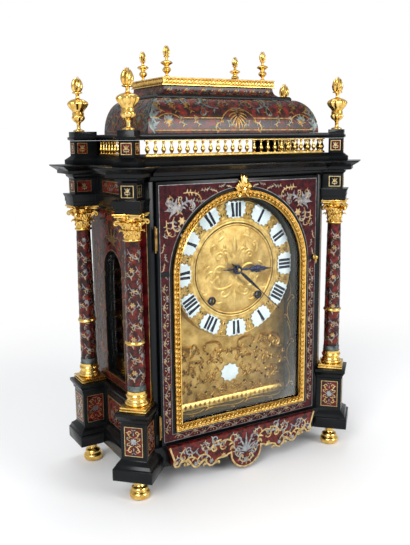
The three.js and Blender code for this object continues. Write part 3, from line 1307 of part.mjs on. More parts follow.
function makePendulum() {
  const hub = barAlongY(PENDULUM_HUB_RADIUS, -PENDULUM_ROD_RADIUS, PENDULUM_ROD_RADIUS, 0, 0);
  const rod = barAlongZ(
    PENDULUM_ROD_RADIUS, -PENDULUM_LENGTH, -PENDULUM_HUB_RADIUS / 2, 0, 0, THIN_ROD_SIDES,
  );
  const disc = turned(BOB_SHARES, BOB_RADIUS, BOB_THICKNESS / 2, DRUM_SIDES).rotateX(QUARTER_TURN);
  const bore = barAlongY(
    PALLET_RADIUS + RUNNING_GAP, -BOB_THICKNESS, BOB_THICKNESS, 0, 0,
  );
  return cut(union(hub, rod, moved(disc, 0, 0, -PENDULUM_LENGTH)), bore);
}

function bellMouthZ() {
  return MOVEMENT_TOP + BELL_MOUTH_RISE;
}

function bellCrownZ() {
  return bellMouthZ() + BELL_HEIGHT;
}

function makeBell() {
  const steps = 4;
  const arc = (radius, height, from) => {
    const points = [];
    for (let i = 0; i <= steps; i += 1) {
      const angle = (from === "rim" ? i : steps - i) / steps * QUARTER_TURN;
      points.push(new THREE.Vector2(Math.cos(angle) * radius, Math.sin(angle) * height));
    }
    return points;
  };
  const outer = arc(BELL_RADIUS, BELL_HEIGHT, "rim");
  const inner = arc(BELL_RADIUS - BELL_WALL, BELL_HEIGHT - BELL_WALL, "crown");
  const outline = [...outer, ...inner, outer[0].clone()];
  outline[steps].x = 0;
  outline[steps + 1].x = 0;
  return closed(new THREE.LatheGeometry(outline, DRUM_SIDES).rotateX(QUARTER_TURN));
}

// The hammer hangs on its arbor and leans towards the bell's rim.
function makeHammer() {
  const arbor = barAlongY(
    HAMMER_ARBOR_RADIUS, FRONT_PLATE_Y + MOVEMENT_PLATE / 2, BACK_PLATE_Y + MOVEMENT_PLATE / 2, 0, 0,
  );
  const headX = BELL_RADIUS + HAMMER_OFF_BELL + HAMMER_HEAD_RADIUS - HAMMER_X;
  const headZ = bellMouthZ() + HAMMER_HEAD_RADIUS - HAMMER_Z;
  const half = HAMMER_HEAD_THICKNESS / 2;
  const head = barAlongY(
    HAMMER_HEAD_RADIUS, MOVEMENT_MIDDLE_Y - half, MOVEMENT_MIDDLE_Y + half, headX, headZ,
  );
  const width = HAMMER_ARM_WIDTH / 2;
  const arm = upright(shapeFrom([
    [-width, 0], [width, 0], [headX + width, headZ], [headX - width, headZ],
  ]), MOVEMENT_MIDDLE_Y - width, MOVEMENT_MIDDLE_Y + width);
  return union(arbor, head, arm);
}

// Assembly

addAtCorners("foot", makeFoot(), GILT, 0);
addPart("plinth", makePlinth(), EBONY);
addAtCorners("column_base", makeColumnBase(), GILT, PEDESTAL_TOP);
addAtCorners("column_shaft", makeShaft(), MARQUETRY, SHAFT_BASE);
addAtCorners("column_capital", makeCapital(), GILT, CAPITAL_BASE);
addPart("case_body", makeCase(), EBONY);
addPart("back_door", makeBackDoor(), EBONY);
addPart("entablature", makeEntablature(), EBONY);
addPart("gallery_course", makeCourse(), EBONY);
addPart("gallery_rail", makeRail(), EBONY);
addBalustrades();
addPart("dome", makeDome(), MARQUETRY);
addPart("dome_border", makeBorder(), GILT);
const largeFinial = turned(
  LARGE_FINIAL_SHARES, LARGE_FINIAL_RADIUS, LARGE_FINIAL_HEIGHT, LARGE_FINIAL_SIDES,
);
addAtCorners("large_finial", largeFinial, GILT, RAIL_BASE + FINIAL_BLOCK_HEIGHT + SEAT_GAP);

const smallFinial = turned(
  SMALL_FINIAL_SHARES, SMALL_FINIAL_RADIUS, SMALL_FINIAL_HEIGHT, SMALL_FINIAL_SIDES,
);
for (const corner of CORNERS) {
  const mesh = addPart(`small_finial_${corner.name}`, smallFinial, GILT);
  const inset = BORDER_INSET + SMALL_FINIAL_INSET;
  const y = corner.y < 0 ? DOME_FRONT_Y + inset : DOME_BACK_Y - SMALL_FINIAL_INSET + BORDER_BACK_REACH;
  mesh.position.set(
    Math.sign(corner.x) * (DOME_HALF_WIDTH - inset), y, BORDER_BASE + BORDER_HEIGHT + SEAT_GAP,
  );
}

for (const side of SIDES) {
  const pane = addPart(side < 0 ? "side_glass_left" : "side_glass_right", makeSideGlass(), GLASS);
  pane.position.set(side * (CASE_HALF_WIDTH - WINDOW_GLASS_INSET), WINDOW_CENTRE_Y, 0);
}

addPart("door_frame", makeDoorFrame(), EBONY);
addPart("door_bezel", makeBezel(), GILT);
addPart("door_glass", makeDoorGlass(), GLASS);
addPart("door_hinge_upper", makeHinge(), BRASS).position.z = UPPER_HINGE_Z;
addPart("door_hinge_lower", makeHinge(), BRASS).position.z = LOWER_HINGE_Z;
addPart("door_catch", makeCatch(), BRASS).position.set(CATCH_X, DOOR_FACE_Y, CATCH_Z);
addPart("apron", makeApron(), MARQUETRY);

addPart("dial_reveal", makeReveal(), REVEAL_METAL);
addPart("dial_plate", makeDialPlate(), GILT);
addPart("dial_ring", makeDialRing(), GILT).position.set(0, DIAL_PLATE_Y - SEAT_GAP, DIAL_CENTRE_Z);
addPart("dial_plaque", makePlaque(), ENAMEL).position.set(0, DIAL_PLATE_Y - SEAT_GAP, PLAQUE_Z);

const hourHand = addPart("hour_hand", makeHand(
  HOUR_HAND_SHARES, HOUR_HAND_LENGTH, HOUR_HAND_TAIL, HOUR_BOSS_RADIUS,
  HOUR_PIPE_RADIUS + RUNNING_GAP,
), BLUED_STEEL);
hourHand.position.set(0, HOUR_HAND_Y, DIAL_CENTRE_Z);
hourHand.rotation.y = HOUR_HAND_ANGLE;
const minuteHand = addPart("minute_hand", makeHand(
  MINUTE_HAND_SHARES, MINUTE_HAND_LENGTH, MINUTE_HAND_TAIL, MINUTE_BOSS_RADIUS,
  ARBOR_RADIUS + RUNNING_GAP,
), BLUED_STEEL);
minuteHand.position.set(0, MINUTE_HAND_Y, DIAL_CENTRE_Z);
minuteHand.rotation.y = MINUTE_HAND_ANGLE;

const { studX, studZ } = motionWork();
addPart("cannon_wheel", makeCannonWheel(), BRASS).position.z = DIAL_CENTRE_Z;
addPart("hour_wheel", makeHourWheel(), BRASS).position.z = DIAL_CENTRE_Z;
addPart("minute_wheel", makeMinuteWheel(), BRASS).position.set(studX, 0, studZ);

addPart("movement_frame", makeMovementFrame(), BRASS);
addPart("going_barrel", makeBarrel(), BRASS).position.set(BARREL_X, 0, BARREL_Z);
addPart("strike_barrel", makeBarrel(), BRASS).position.set(-BARREL_X, 0, BARREL_Z);
addPart("pallets", makePallets(), STEEL).position.z = PALLET_Z;
addPart("pendulum", makePendulum(), BRASS).position.set(0, pendulumY(), PALLET_Z);
addPart("bell", makeBell(), BRASS).position.set(0, MOVEMENT_MIDDLE_Y, bellMouthZ());
addPart("bell_hammer", makeHammer(), STEEL).position.set(HAMMER_X, 0, HAMMER_Z);

export default clock;
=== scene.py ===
"""Dresses a bracket clock in Boulle marquetry: ebony case, shell ground, brass and pewter inlay.

Sizes are given in millimetres and turned to metres when a piece is finished. The frame is the
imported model's own: +Z is up and the glazed door faces -Y.
"""

import json
import logging
import math
from dataclasses import dataclass, field, replace
from enum import Enum
from typing import Callable, Optional, Sequence

import bmesh
import bpy
from mathutils import Matrix, Vector

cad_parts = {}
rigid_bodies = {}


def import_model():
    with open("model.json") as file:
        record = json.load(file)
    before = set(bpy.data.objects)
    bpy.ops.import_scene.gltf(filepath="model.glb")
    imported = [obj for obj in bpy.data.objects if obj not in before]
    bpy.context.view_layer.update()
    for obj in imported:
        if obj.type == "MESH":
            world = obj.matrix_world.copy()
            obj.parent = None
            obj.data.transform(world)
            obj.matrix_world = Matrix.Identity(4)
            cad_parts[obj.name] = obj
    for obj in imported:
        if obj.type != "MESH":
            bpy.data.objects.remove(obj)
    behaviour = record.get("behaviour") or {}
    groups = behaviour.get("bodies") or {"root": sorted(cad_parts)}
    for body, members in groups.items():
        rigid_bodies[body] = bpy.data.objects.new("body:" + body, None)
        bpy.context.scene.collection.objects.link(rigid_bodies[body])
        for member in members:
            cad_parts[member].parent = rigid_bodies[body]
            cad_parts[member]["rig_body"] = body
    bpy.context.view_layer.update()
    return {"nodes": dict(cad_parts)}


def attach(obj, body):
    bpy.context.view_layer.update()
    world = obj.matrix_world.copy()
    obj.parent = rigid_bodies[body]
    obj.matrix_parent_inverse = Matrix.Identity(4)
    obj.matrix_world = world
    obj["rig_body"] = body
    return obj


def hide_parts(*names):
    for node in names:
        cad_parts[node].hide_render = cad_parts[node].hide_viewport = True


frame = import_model()
LOG = logging.getLogger("clock")
MM = 0.001
FULL_TURN = 2 * math.pi

Point = tuple[float, float]
Placing = Callable[[Vector], Vector]


class Metal(Enum):
    """The two metals that are sawn and let into the shell."""

    BRASS = "brass"
    PEWTER = "pewter"


class Cut(Enum):
    """How the width of a sawn or chased band runs along its length."""

    SCROLL = "scroll"
    LEAF = "leaf"
    BAND = "band"


# Finishes


def linear(code: str) -> tuple[float, float, float, float]:
    """Turn an sRGB hex colour into linear light.

    Args:
        code: Six hex digits.

    Returns:
        Red, green, blue and an alpha of 1.
    """
    channels = [int(code[i:i + 2], 16) / 255 for i in (0, 2, 4)]
    light = [c / 12.92 if c <= 0.04045 else ((c + 0.055) / 1.055) ** 2.4 for c in channels]
    return (light[0], light[1], light[2], 1.0)


def add_node(
    tree: bpy.types.NodeTree, kind: str, settings: Optional[dict] = None,
    links: Optional[dict] = None,
) -> bpy.types.Node:
    """Add one shader node.

    Args:
        tree: The material's or world's node tree.
        kind: The node's type.
        settings: Properties by name, or input values by socket name or number.
        links: Output sockets by the name or number of the input that they feed.

    Returns:
        The new node.
    """
    node = tree.nodes.new(kind)
    for name, value in (settings or {}).items():
        if isinstance(name, str) and hasattr(node, name):
            setattr(node, name, value)
        else:
            node.inputs[name].default_value = value
    for name, socket in (links or {}).items():
        tree.links.new(socket, node.inputs[name])
    return node


@dataclass(frozen=True)
class Surface:
    """A solid finish: clouds of two tones, a fine grain in the relief, and wax and painted shade in the hollows."""

    name: str
    light: str
    dark: str
    metallic: float = 0.0
    roughness: float = 0.3
    roughness_swing: float = 0.06
    cloud_mm: float = 12.0
    stretch: tuple[float, float, float] = (1.0, 1.0, 1.0)
    cloud_edge: tuple[float, float] = (0.35, 0.65)
    grain_mm: float = 0.8
    grain_depth_mm: float = 0.01
    coat: float = 0.0
    specular: float = 0.5
    hollow_wax_and_shade: str = ""
    hollow_wax_and_shade_mm: float = 2.5

    def material(self) -> bpy.types.Material:
        """Build the material once and give it back afterwards."""
        found = bpy.data.materials.get(self.name)
        if found:
            return found
        material = bpy.data.materials.new(self.name)
        material.use_nodes = True
        tree = material.node_tree
        tree.nodes.clear()
        place = add_node(tree, "ShaderNodeTexCoord").outputs["Object"]
        laid = add_node(
            tree, "ShaderNodeMapping", {"Scale": self.stretch}, {"Vector": place},
        ).outputs["Vector"]
        clouds = add_node(tree, "ShaderNodeTexNoise", {
            "Scale": 1 / (self.cloud_mm * MM), "Detail": 4.0, "Roughness": 0.6,
        }, {"Vector": laid}).outputs["Fac"]
        share = add_node(tree, "ShaderNodeMapRange", {
            "From Min": self.cloud_edge[0], "From Max": self.cloud_edge[1],
        }, {"Value": clouds}).outputs["Result"]
        colour = add_node(tree, "ShaderNodeMix", {
            "data_type": "RGBA", 6: linear(self.dark), 7: linear(self.light),
        }, {0: share}).outputs[2]
        # Painted shade and wax: an ambient occlusion mask mixes the hollow colour into creases and recesses, where
        # shade falls.
        if self.hollow_wax_and_shade:
            open_sky = add_node(tree, "ShaderNodeAmbientOcclusion", {
                "samples": 6, "Distance": self.hollow_wax_and_shade_mm * MM,
            }).outputs["AO"]
            free_of_wax_and_shade = add_node(tree, "ShaderNodeMapRange", {
                "From Min": 0.26, "From Max": 0.72,
            }, {"Value": open_sky}).outputs["Result"]
            colour = add_node(tree, "ShaderNodeMix", {
                "data_type": "RGBA", 6: linear(self.hollow_wax_and_shade),
            }, {0: free_of_wax_and_shade, 7: colour}).outputs[2]
        gloss = add_node(tree, "ShaderNodeMapRange", {
            "To Min": self.roughness - self.roughness_swing,
            "To Max": self.roughness + self.roughness_swing,
        }, {"Value": clouds}).outputs["Result"]
        grain = add_node(tree, "ShaderNodeTexNoise", {
            "Scale": 1 / (self.grain_mm * MM), "Detail": 2.0,
        }, {"Vector": laid}).outputs["Fac"]
        relief = add_node(tree, "ShaderNodeBump", {
            "Distance": self.grain_depth_mm * MM, "Strength": 1.0,
        }, {"Height": grain}).outputs["Normal"]
        shader = add_node(tree, "ShaderNodeBsdfPrincipled", {
            "Metallic": self.metallic, "Coat Weight": self.coat, "Coat Roughness": 0.08,
            "Specular IOR Level": self.specular,
        }, {"Base Color": colour, "Roughness": gloss, "Normal": relief}).outputs["BSDF"]
        add_node(tree, "ShaderNodeOutputMaterial", links={"Surface": shader})
        return material


@dataclass(frozen=True)
class SheetGlass:
    """Thin flat glass: clear from the front, mirroring the room at a flat angle."""

    name: str
    tint: str

    def material(self) -> bpy.types.Material:
        """Build the material once and give it back afterwards."""
        found = bpy.data.materials.get(self.name)
        if found:
            return found
        material = bpy.data.materials.new(self.name)
        material.use_nodes = True
        tree = material.node_tree
        tree.nodes.clear()
        place = add_node(tree, "ShaderNodeTexCoord").outputs["Object"]
        sag = add_node(tree, "ShaderNodeTexNoise", {"Scale": 18.0, "Detail": 1.0}, {"Vector": place})
        wave = add_node(tree, "ShaderNodeBump", {
            "Distance": 0.01 * MM, "Strength": 0.5,
        }, {"Height": sag.outputs["Fac"]}).outputs["Normal"]
        clear = add_node(tree, "ShaderNodeBsdfTransparent", {"Color": linear(self.tint)})
        mirror = add_node(tree, "ShaderNodeBsdfGlossy", {"Roughness": 0.03}, {"Normal": wave})
        edge = add_node(tree, "ShaderNodeFresnel", {"IOR": 1.5}).outputs["Fac"]
        share = add_node(tree, "ShaderNodeMath", {"operation": "MULTIPLY", 1: 0.25}, {0: edge}).outputs[0]
        mixed = add_node(tree, "ShaderNodeMixShader", links={
            0: share, 1: clear.outputs["BSDF"], 2: mirror.outputs["BSDF"],
        })
        add_node(tree, "ShaderNodeOutputMaterial", links={"Surface": mixed.outputs["Shader"]})
        return material


# Pearwood stained black and French polished: blue-black, with a soft grey sheen on its edges.
EBONY = Surface(
    "ebonised_pearwood_polished", "0d1012", "040506", roughness=0.24, cloud_mm=30,
    stretch=(1, 1, 0.25), grain_mm=0.7, grain_depth_mm=0.01, specular=0.2,
)
# The same black on the open floor of the gallery: waxed but dusty, so it mirrors no lamp.
RUBBED_EBONY = replace(EBONY, name="ebonised_pearwood_waxed", roughness=0.5, specular=0.08)
# Tortoiseshell over red foil: clear red pools between brown-black clouds, under a deep gloss.
SHELL = Surface(
    "red_tortoiseshell_veneer", "681a15", "200908", roughness=0.2, cloud_mm=7,
    cloud_edge=(0.4, 0.6), grain_mm=3, grain_depth_mm=0.015, specular=0.3,
)
# The same shell, older and browner: on the door it reads as a dark wine red.
DARK_SHELL = Surface(
    "wine_tortoiseshell_veneer", "4a1519", "240f12", roughness=0.24, cloud_mm=6,
    cloud_edge=(0.38, 0.62), grain_mm=3, grain_depth_mm=0.015, specular=0.15,
)
# The shell of the dome, sides and shafts: brown-black, with red showing through in spots.
BROWN_SHELL = Surface(
    "brown_tortoiseshell_veneer", "741f17", "210e0c", roughness=0.24, cloud_mm=8,
    cloud_edge=(0.45, 0.7), grain_mm=3, grain_depth_mm=0.015, specular=0.3,
)
# The same shell on the top of the dome, rubbed dull, so that it doesn't mirror the lamps.
RUBBED_SHELL = replace(BROWN_SHELL, name="rubbed_tortoiseshell_veneer", roughness=0.55, specular=0.06)
# The canted strips: plain shell over a strong crimson.
CRIMSON_SHELL = Surface(
    "crimson_tortoiseshell_veneer", "5c0d14", "28060a", roughness=0.22, cloud_mm=14,
    cloud_edge=(0.38, 0.62), grain_mm=3, grain_depth_mm=0.015, specular=0.3,
)
# Sheet brass, sawn, engraved and rubbed flush: pale straw gold with a soft shine.
INLAY_BRASS = Surface(
    "sawn_brass_inlay", "e6d09c", "b39255", metallic=1, roughness=0.36, cloud_mm=5,
    grain_mm=0.5, grain_depth_mm=0.02,
)
# Sheet pewter, sawn and engraved: a quiet silver grey.
PEWTER = Surface(
    "sawn_pewter_inlay", "b4b9ba", "767d80", metallic=1, roughness=0.4, cloud_mm=5,
    grain_mm=0.5, grain_depth_mm=0.02,
)
# Brass that has darkened under old varnish, as on the dome, the sides and the shafts.
AGED_BRASS = Surface(
    "varnished_brass_inlay", "a9864f", "664a21", metallic=1, roughness=0.42, cloud_mm=6,
    grain_mm=0.5, grain_depth_mm=0.02,
)
# Pewter that has greyed under old varnish.
AGED_PEWTER = Surface(
    "varnished_pewter_inlay", "7b8380", "3f4a48", metallic=1, roughness=0.45, cloud_mm=6,
    grain_mm=0.5, grain_depth_mm=0.02,
)
# Sheet brass on the door and the shafts, gone dull and a little pink beside the wine red shell.
DULL_BRASS = Surface(
    "dulled_brass_inlay", "ccb288", "937646", metallic=1, roughness=0.42, cloud_mm=5,
    grain_mm=0.5, grain_depth_mm=0.02,
)
# Sheet pewter of the same age: warm mid grey.
DULL_PEWTER = Surface(
    "dulled_pewter_inlay", "9f9c9b", "626264", metallic=1, roughness=0.44, cloud_mm=5,
    grain_mm=0.5, grain_depth_mm=0.02,
)
# Cast bronze, chased, fire gilt and burnished: deep yellow lights, brown wax and painted shade in the hollows.
GILT = Surface(
    "fire_gilt_bronze", "fad683", "d8a94c", metallic=1, roughness=0.22, cloud_mm=7,
    grain_mm=0.9, grain_depth_mm=0.03, hollow_wax_and_shade="7a5218", hollow_wax_and_shade_mm=2,
)
# The same casting with near-black painted shade in its hollows: the notches of the bezel's leaves read nearly black.
NOTCH_SHADED_GILT = replace(GILT, name="gilt_bronze_painted_notch_shade", hollow_wax_and_shade="2c1903", hollow_wax_and_shade_mm=3.2)
# Gilt brass plate, chased and left matt: warm gold with a punched ground, its hollows darkened with painted shade.
MATT_GILT = Surface(
    "matt_gilt_dial_plate", "e6c27a", "b18a45", metallic=1, roughness=0.54, cloud_mm=16,
    grain_mm=0.8, grain_depth_mm=0.06, hollow_wax_and_shade="6a4d1c", hollow_wax_and_shade_mm=2,
)
# The ornament on the plate: the same gilding, burnished on its ridges, with painted shade in its hollows.
GILT_RELIEF = Surface(
    "chased_gilt_relief", "efcc80", "bd9248", metallic=1, roughness=0.4, cloud_mm=9,
    grain_mm=0.6, grain_depth_mm=0.03, hollow_wax_and_shade="553d14", hollow_wax_and_shade_mm=2.4,
)
# Painted shade for the piercings: dark brown strokes laid on the plate where the holes would fall into shadow.
PIERCING_SHADE = Surface(
    "painted_piercing_shade", "2c1a09", "160c04", roughness=0.6, cloud_mm=3, specular=0.2,
)
# Vitreous enamel on copper: milk white with a breath of blue and a wet gloss.
ENAMEL = Surface(
    "white_vitreous_enamel", "f1f7fb", "e0ebf2", roughness=0.12, roughness_swing=0.03,
    cloud_mm=14, grain_mm=5, grain_depth_mm=0.02, coat=0.3,
)
# Fired enamel colour: a navy that is nearly black.
NAVY = Surface(
    "navy_enamel_colour", "131a34", "0c1124", roughness=0.3, cloud_mm=3, specular=0.2,
)
# Steel, filed, polished and blued over a flame: blue-black.
BLUED_STEEL = Surface(
    "flame_blued_steel", "2c3048", "141624", metallic=1, roughness=0.28, cloud_mm=8,
    grain_mm=0.4, grain_depth_mm=0.008,
)
# Lining of the dial opening: dark grey paint, rubbed to a low shine, with dull patches.
LINING = Surface(
    "grey_painted_lining", "4a4c47", "383a36", roughness=0.42, specular=0.3,
    roughness_swing=0.1, cloud_mm=20, grain_mm=1, grain_depth_mm=0.01,
)
# Clock brass, turned and grained: yellow with fine dulling.
CLOCK_BRASS = Surface(
    "grained_clock_brass", "dcb768", "bb9149", metallic=1, roughness=0.3, cloud_mm=14,
    stretch=(1, 1, 4), grain_mm=0.6, grain_depth_mm=0.01,
)
# Bright steel, filed and polished.
STEEL = Surface(
    "polished_steel", "a3a6a9", "72757a", metallic=1, roughness=0.28, cloud_mm=10,
    stretch=(1, 1, 4), grain_mm=0.5, grain_depth_mm=0.008,
)
GLASS = SheetGlass("clear_sheet_glass", "fbfdfc")
BRIGHT = {Metal.BRASS: INLAY_BRASS, Metal.PEWTER: PEWTER}
AGED = {Metal.BRASS: AGED_BRASS, Metal.PEWTER: AGED_PEWTER}
DULL = {Metal.BRASS: DULL_BRASS, Metal.PEWTER: DULL_PEWTER}


def dress(node: str, finish: Surface | SheetGlass) -> None:
    """Put a finish on a CAD node that keeps its own shape."""
    kept = frame["nodes"][node]
    kept.data.materials.clear()
    kept.data.materials.append(finish.material())


# Mesh tools


def absorb(target: bmesh.types.BMesh, source: bmesh.types.BMesh, placing: Placing) -> None:
    """Add a shape to another, each vertex put where the placing says.

    Args:
        target: The shape that grows.
        source: The shape that is added; it is freed.
        placing: Gives a vertex's place from its place in the source.
    """
    for vert in source.verts:
        vert.co = placing(vert.co)
    mesh = bpy.data.meshes.new("passing")
    source.to_mesh(mesh)
    source.free()
    target.from_mesh(mesh)
    bpy.data.meshes.remove(mesh)


def copies(shape: bmesh.types.BMesh, placings: Sequence[Placing]) -> bmesh.types.BMesh:
    """Repeat a shape.

    Args:
        shape: The shape to repeat; it is freed.
        placings: One placing for each copy.

    Returns:
        One bmesh with all the copies.
    """
    whole = bmesh.new()
    for placing in placings:
        absorb(whole, shape.copy(), placing)
    shape.free()
    return whole


def same(point: Vector) -> Vector:
    """The placing that leaves a point where it is."""
    return point


def by_matrix(matrix: Matrix) -> Placing:
    """The placing that a matrix makes."""
    return lambda point: matrix @ point


def at(x: float, y: float, z: float, turn: float = 0.0) -> Matrix:
    """A place in millimetres, turned by some degrees about Z."""
    return Matrix.Translation((x, y, z)) @ Matrix.Rotation(math.radians(turn), 4, "Z")


def face_frame(x: float, y: float, z: float, facing: float) -> Matrix:
    """A frame on an upright face: local X runs right, Y up and Z out of the face.

    Args:
        x, y, z: The frame's origin.
        facing: The direction that the face looks in, in degrees from +X.

    Returns:
        The frame as a matrix.
    """
    out = math.radians(facing)
    return Matrix((
        (-math.sin(out), 0, math.cos(out), x), (math.cos(out), 0, math.sin(out), y),
        (0, 1, 0, z), (0, 0, 0, 1),
    ))


def piece(
    name: str, shape: bmesh.types.BMesh, finish: Surface,
    body: str = "case", nodes: Sequence[str] = (), crease: float = 32,
) -> bpy.types.Object:
    """Finish a shape as an object in metres.

    Args:
        name: The piece's name.
        shape: Its mesh in millimetres; it is freed.
        finish: What it is made of.
        body: The body that it rides on.
        nodes: The CAD nodes that it stands for.
        crease: Edges sharper than this many degrees stay sharp.

    Returns:
        The new object.
    """
    bmesh.ops.recalc_face_normals(shape, faces=shape.faces[:])
    bmesh.ops.scale(shape, vec=(MM, MM, MM), verts=shape.verts[:])
    for facet in shape.faces:
        facet.smooth = True
    for edge in shape.edges:
        edge.smooth = edge.calc_face_angle(math.pi) < math.radians(crease)
    mesh = bpy.data.meshes.new(name)
    shape.to_mesh(mesh)
    shape.free()
    mesh.materials.append(finish.material())
    made = bpy.data.objects.new(name, mesh)
    bpy.context.scene.collection.objects.link(made)
    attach(made, body)
    if nodes:
        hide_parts(*nodes)
    LOG.info("%s: %d faces", name, len(mesh.polygons))
    return made


def node_copy(node: str) -> bmesh.types.BMesh:
    """A CAD node's mesh in millimetres, its vertices merged and its flat faces whole."""
    shape = bmesh.new()
    shape.from_mesh(frame["nodes"][node].data)
    bmesh.ops.scale(shape, vec=(1 / MM, 1 / MM, 1 / MM), verts=shape.verts[:])
    bmesh.ops.remove_doubles(shape, verts=shape.verts[:], dist=0.002)
    bmesh.ops.dissolve_limit(
        shape, angle_limit=math.radians(0.6), verts=shape.verts[:], edges=shape.edges[:],
    )
    return shape


def body_of(node: str) -> str:
    """The body that a CAD node rides on."""
    return frame["nodes"][node]["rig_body"]


def eased(shape: bmesh.types.BMesh, width: float, sharper: float = 26) -> bmesh.types.BMesh:
    """Round every edge that is sharper than so many degrees."""
    sharp = [e for e in shape.edges if e.calc_face_angle(0.0) > math.radians(sharper)]
    bmesh.ops.bevel(
        shape, geom=sharp, offset=width, offset_type="OFFSET", segments=2, profile=0.5,
        affect="EDGES", clamp_overlap=False, material=-1,
    )
    return shape


def flow(points: Sequence[Point], steps: int = 4) -> list[Point]:
    """Run a smooth line through points; a point given twice is a corner.

    Args:
        points: The points that the line passes.
        steps: Steps from each point to the next.

    Returns:
        The points of the line.
    """
    runs: list[list[Point]] = [[points[0]]]
    for before, after in zip(points, points[1:]):
        if before == after:
            runs.append([after])
        else:
            runs[-1].append(after)
    line: list[Point] = []
    for run in runs:
        if len(run) == 2:
            line += run
            continue
        held = [run[0], *run, run[-1]]
        for a, b, c, d in zip(held, held[1:], held[2:], held[3:]):
            for i in range(steps):
                t = i / steps
                line.append(tuple(
                    0.5 * (2 * q + (r - p) * t + (2 * p - 5 * q + 4 * r - s) * t * t
                           + (3 * q - p - 3 * r + s) * t ** 3)
                    for p, q, r, s in zip(a, b, c, d)
                ))
        line.append(run[-1])
    return [p for i, p in enumerate(line) if i == 0 or math.dist(p, line[i - 1]) > 0.001]


def lathe(profile: Sequence[Point], sides: int) -> bmesh.types.BMesh:
    """Turn a profile of radii and heights about Z."""
    shape = bmesh.new()
    verts = [shape.verts.new((max(r, 0.0), 0, z)) for r, z in profile]
    edges = [shape.edges.new(pair) for pair in zip(verts, verts[1:])]
    bmesh.ops.spin(
        shape, geom=verts + edges, cent=(0, 0, 0), axis=(0, 0, 1), angle=FULL_TURN,
        steps=sides, use_merge=True, use_duplicate=False,
    )
    bmesh.ops.remove_doubles(shape, verts=shape.verts[:], dist=0.001)
    return shape


def flute(
    shape: bmesh.types.BMesh, low: float, high: float, count: int, depth: float,
    twist: float = 0.0,
) -> bmesh.types.BMesh:
    """Carve lobes round a turned shape between two heights.

    Args:
        shape: A shape turned about Z.
        low: Where the lobes start.
        high: Where they end.
        count: How many there are.
        depth: Their depth as a share of the radius.
        twist: Turns that they make on their way up.

    Returns:
        The same shape.
    """
    for vert in shape.verts:
        if low < vert.co.z < high:
            along = (vert.co.z - low) / (high - low)
            angle = math.atan2(vert.co.y, vert.co.x) * count + along * twist * FULL_TURN
            fade = min(1.0, 4 * along, 4 * (1 - along))
            share = 1 - depth * fade * (0.5 - 0.5 * math.cos(angle))
            vert.co.x *= share
            vert.co.y *= share
    return shape


def stack(
    plan: tuple[float, float, float], levels: Sequence[Point], back_follows: float = 0.0,
) -> bmesh.types.BMesh:
    """Raise a rectangle level by level, drawn in on its front and both sides.

    Args:
        plan: Half width, front and back of the rectangle.
        levels: For each level, how far it is drawn in, and its height.
        back_follows: The share of the drawing in that the back takes as well.

    Returns:
        A closed shape.
    """
    half, front, back = plan
    shape = bmesh.new()
    bmesh.ops.create_grid(shape, x_segments=1, y_segments=1, size=1.0)
    verts = shape.verts[:]
    face = shape.faces[:][0]

    def spread(inset: float, z: float) -> Matrix:
        rear = back - inset * back_follows
        wide, deep = half - inset, (rear - front - inset) / 2
        middle = (rear + front + inset) / 2
        return Matrix.Translation((0, middle, z)) @ Matrix.Diagonal((wide, deep, 1, 1))

    current = spread(*levels[0])
    bmesh.ops.transform(shape, matrix=current, verts=verts)
    bmesh.ops.duplicate(shape, geom=[face])
    for inset, z in levels[1:]:
        out = bmesh.ops.extrude_face_region(shape, geom=[face])["geom"]
        verts = [g for g in out if isinstance(g, bmesh.types.BMVert)]
        face = next(g for g in out if isinstance(g, bmesh.types.BMFace))
        step = spread(inset, z)
        bmesh.ops.transform(shape, matrix=step @ current.inverted(), verts=verts)
        current = step
    bmesh.ops.remove_doubles(shape, verts=shape.verts[:], dist=0.0005)
    return shape


def stations(points: Sequence[Point], closed: bool = False, lift: float = 0.0) -> list[Matrix]:
    """Frames along a flat path, mitred at its corners.

    Args:
        points: The path's points.
        closed: Whether it returns to its start.
        lift: Height above the path's plane.

    Returns:
        A matrix for each point: X along the path, Y to its left, Z up.
    """
    count = len(points)
    made = []
    for i, point in enumerate(points):
        here = Vector(point)
        ways = []
        if closed or i > 0:
            ways.append((here - Vector(points[i - 1])).normalized())
        if closed or i < count - 1:
            ways.append((Vector(points[(i + 1) % count]) - here).normalized())
        way = (ways[0] + ways[-1]).normalized()
        left = Vector((-way.y, way.x))
        stretch = 1 / max(0.35, left.dot(Vector((-ways[0].y, ways[0].x))))
        made.append(Matrix((
            (way.x, left.x * stretch, 0, here.x), (way.y, left.y * stretch, 0, here.y),
            (0, 0, 1, lift), (0, 0, 0, 1),
        )))
    return made + made[:1] if closed else made


def sweep(
    shape: bmesh.types.BMesh, section: Sequence[Point], frames: Sequence[Matrix],
) -> None:
    """Draw a closed section through frames; its ends are capped unless they meet.

    Args:
        shape: The shape that gets the new body.
        section: The section's points, across and up.
        frames: Where the section passes.
    """
    verts = [shape.verts.new(frames[0] @ Vector((0, a, b))) for a, b in section]
    first = list(verts)
    edges = [shape.edges.new((v, verts[(i + 1) % len(verts)])) for i, v in enumerate(verts)]
    start = list(edges)
    for before, after in zip(frames, frames[1:]):
        out = bmesh.ops.extrude_edge_only(shape, edges=edges)["geom"]
        verts = [g for g in out if isinstance(g, bmesh.types.BMVert)]
        edges = [g for g in out if isinstance(g, bmesh.types.BMEdge)]
        bmesh.ops.transform(shape, matrix=after @ before.inverted(), verts=verts)
    if frames[0] == frames[-1]:
        bmesh.ops.remove_doubles(shape, verts=first + verts, dist=0.001)
    else:
        bmesh.ops.holes_fill(shape, edges=start + edges, sides=0)


def band(
    shape: bmesh.types.BMesh, points: Sequence[Point], width: float, low: float, high: float,
    closed: bool = False,
) -> None:
    """Lay a flat strip of one width along a path, from one height to another."""
    half = width / 2
    section = [(-half, low), (half, low), (half, high), (-half, high)]
    sweep(shape, section, stations(points, closed))


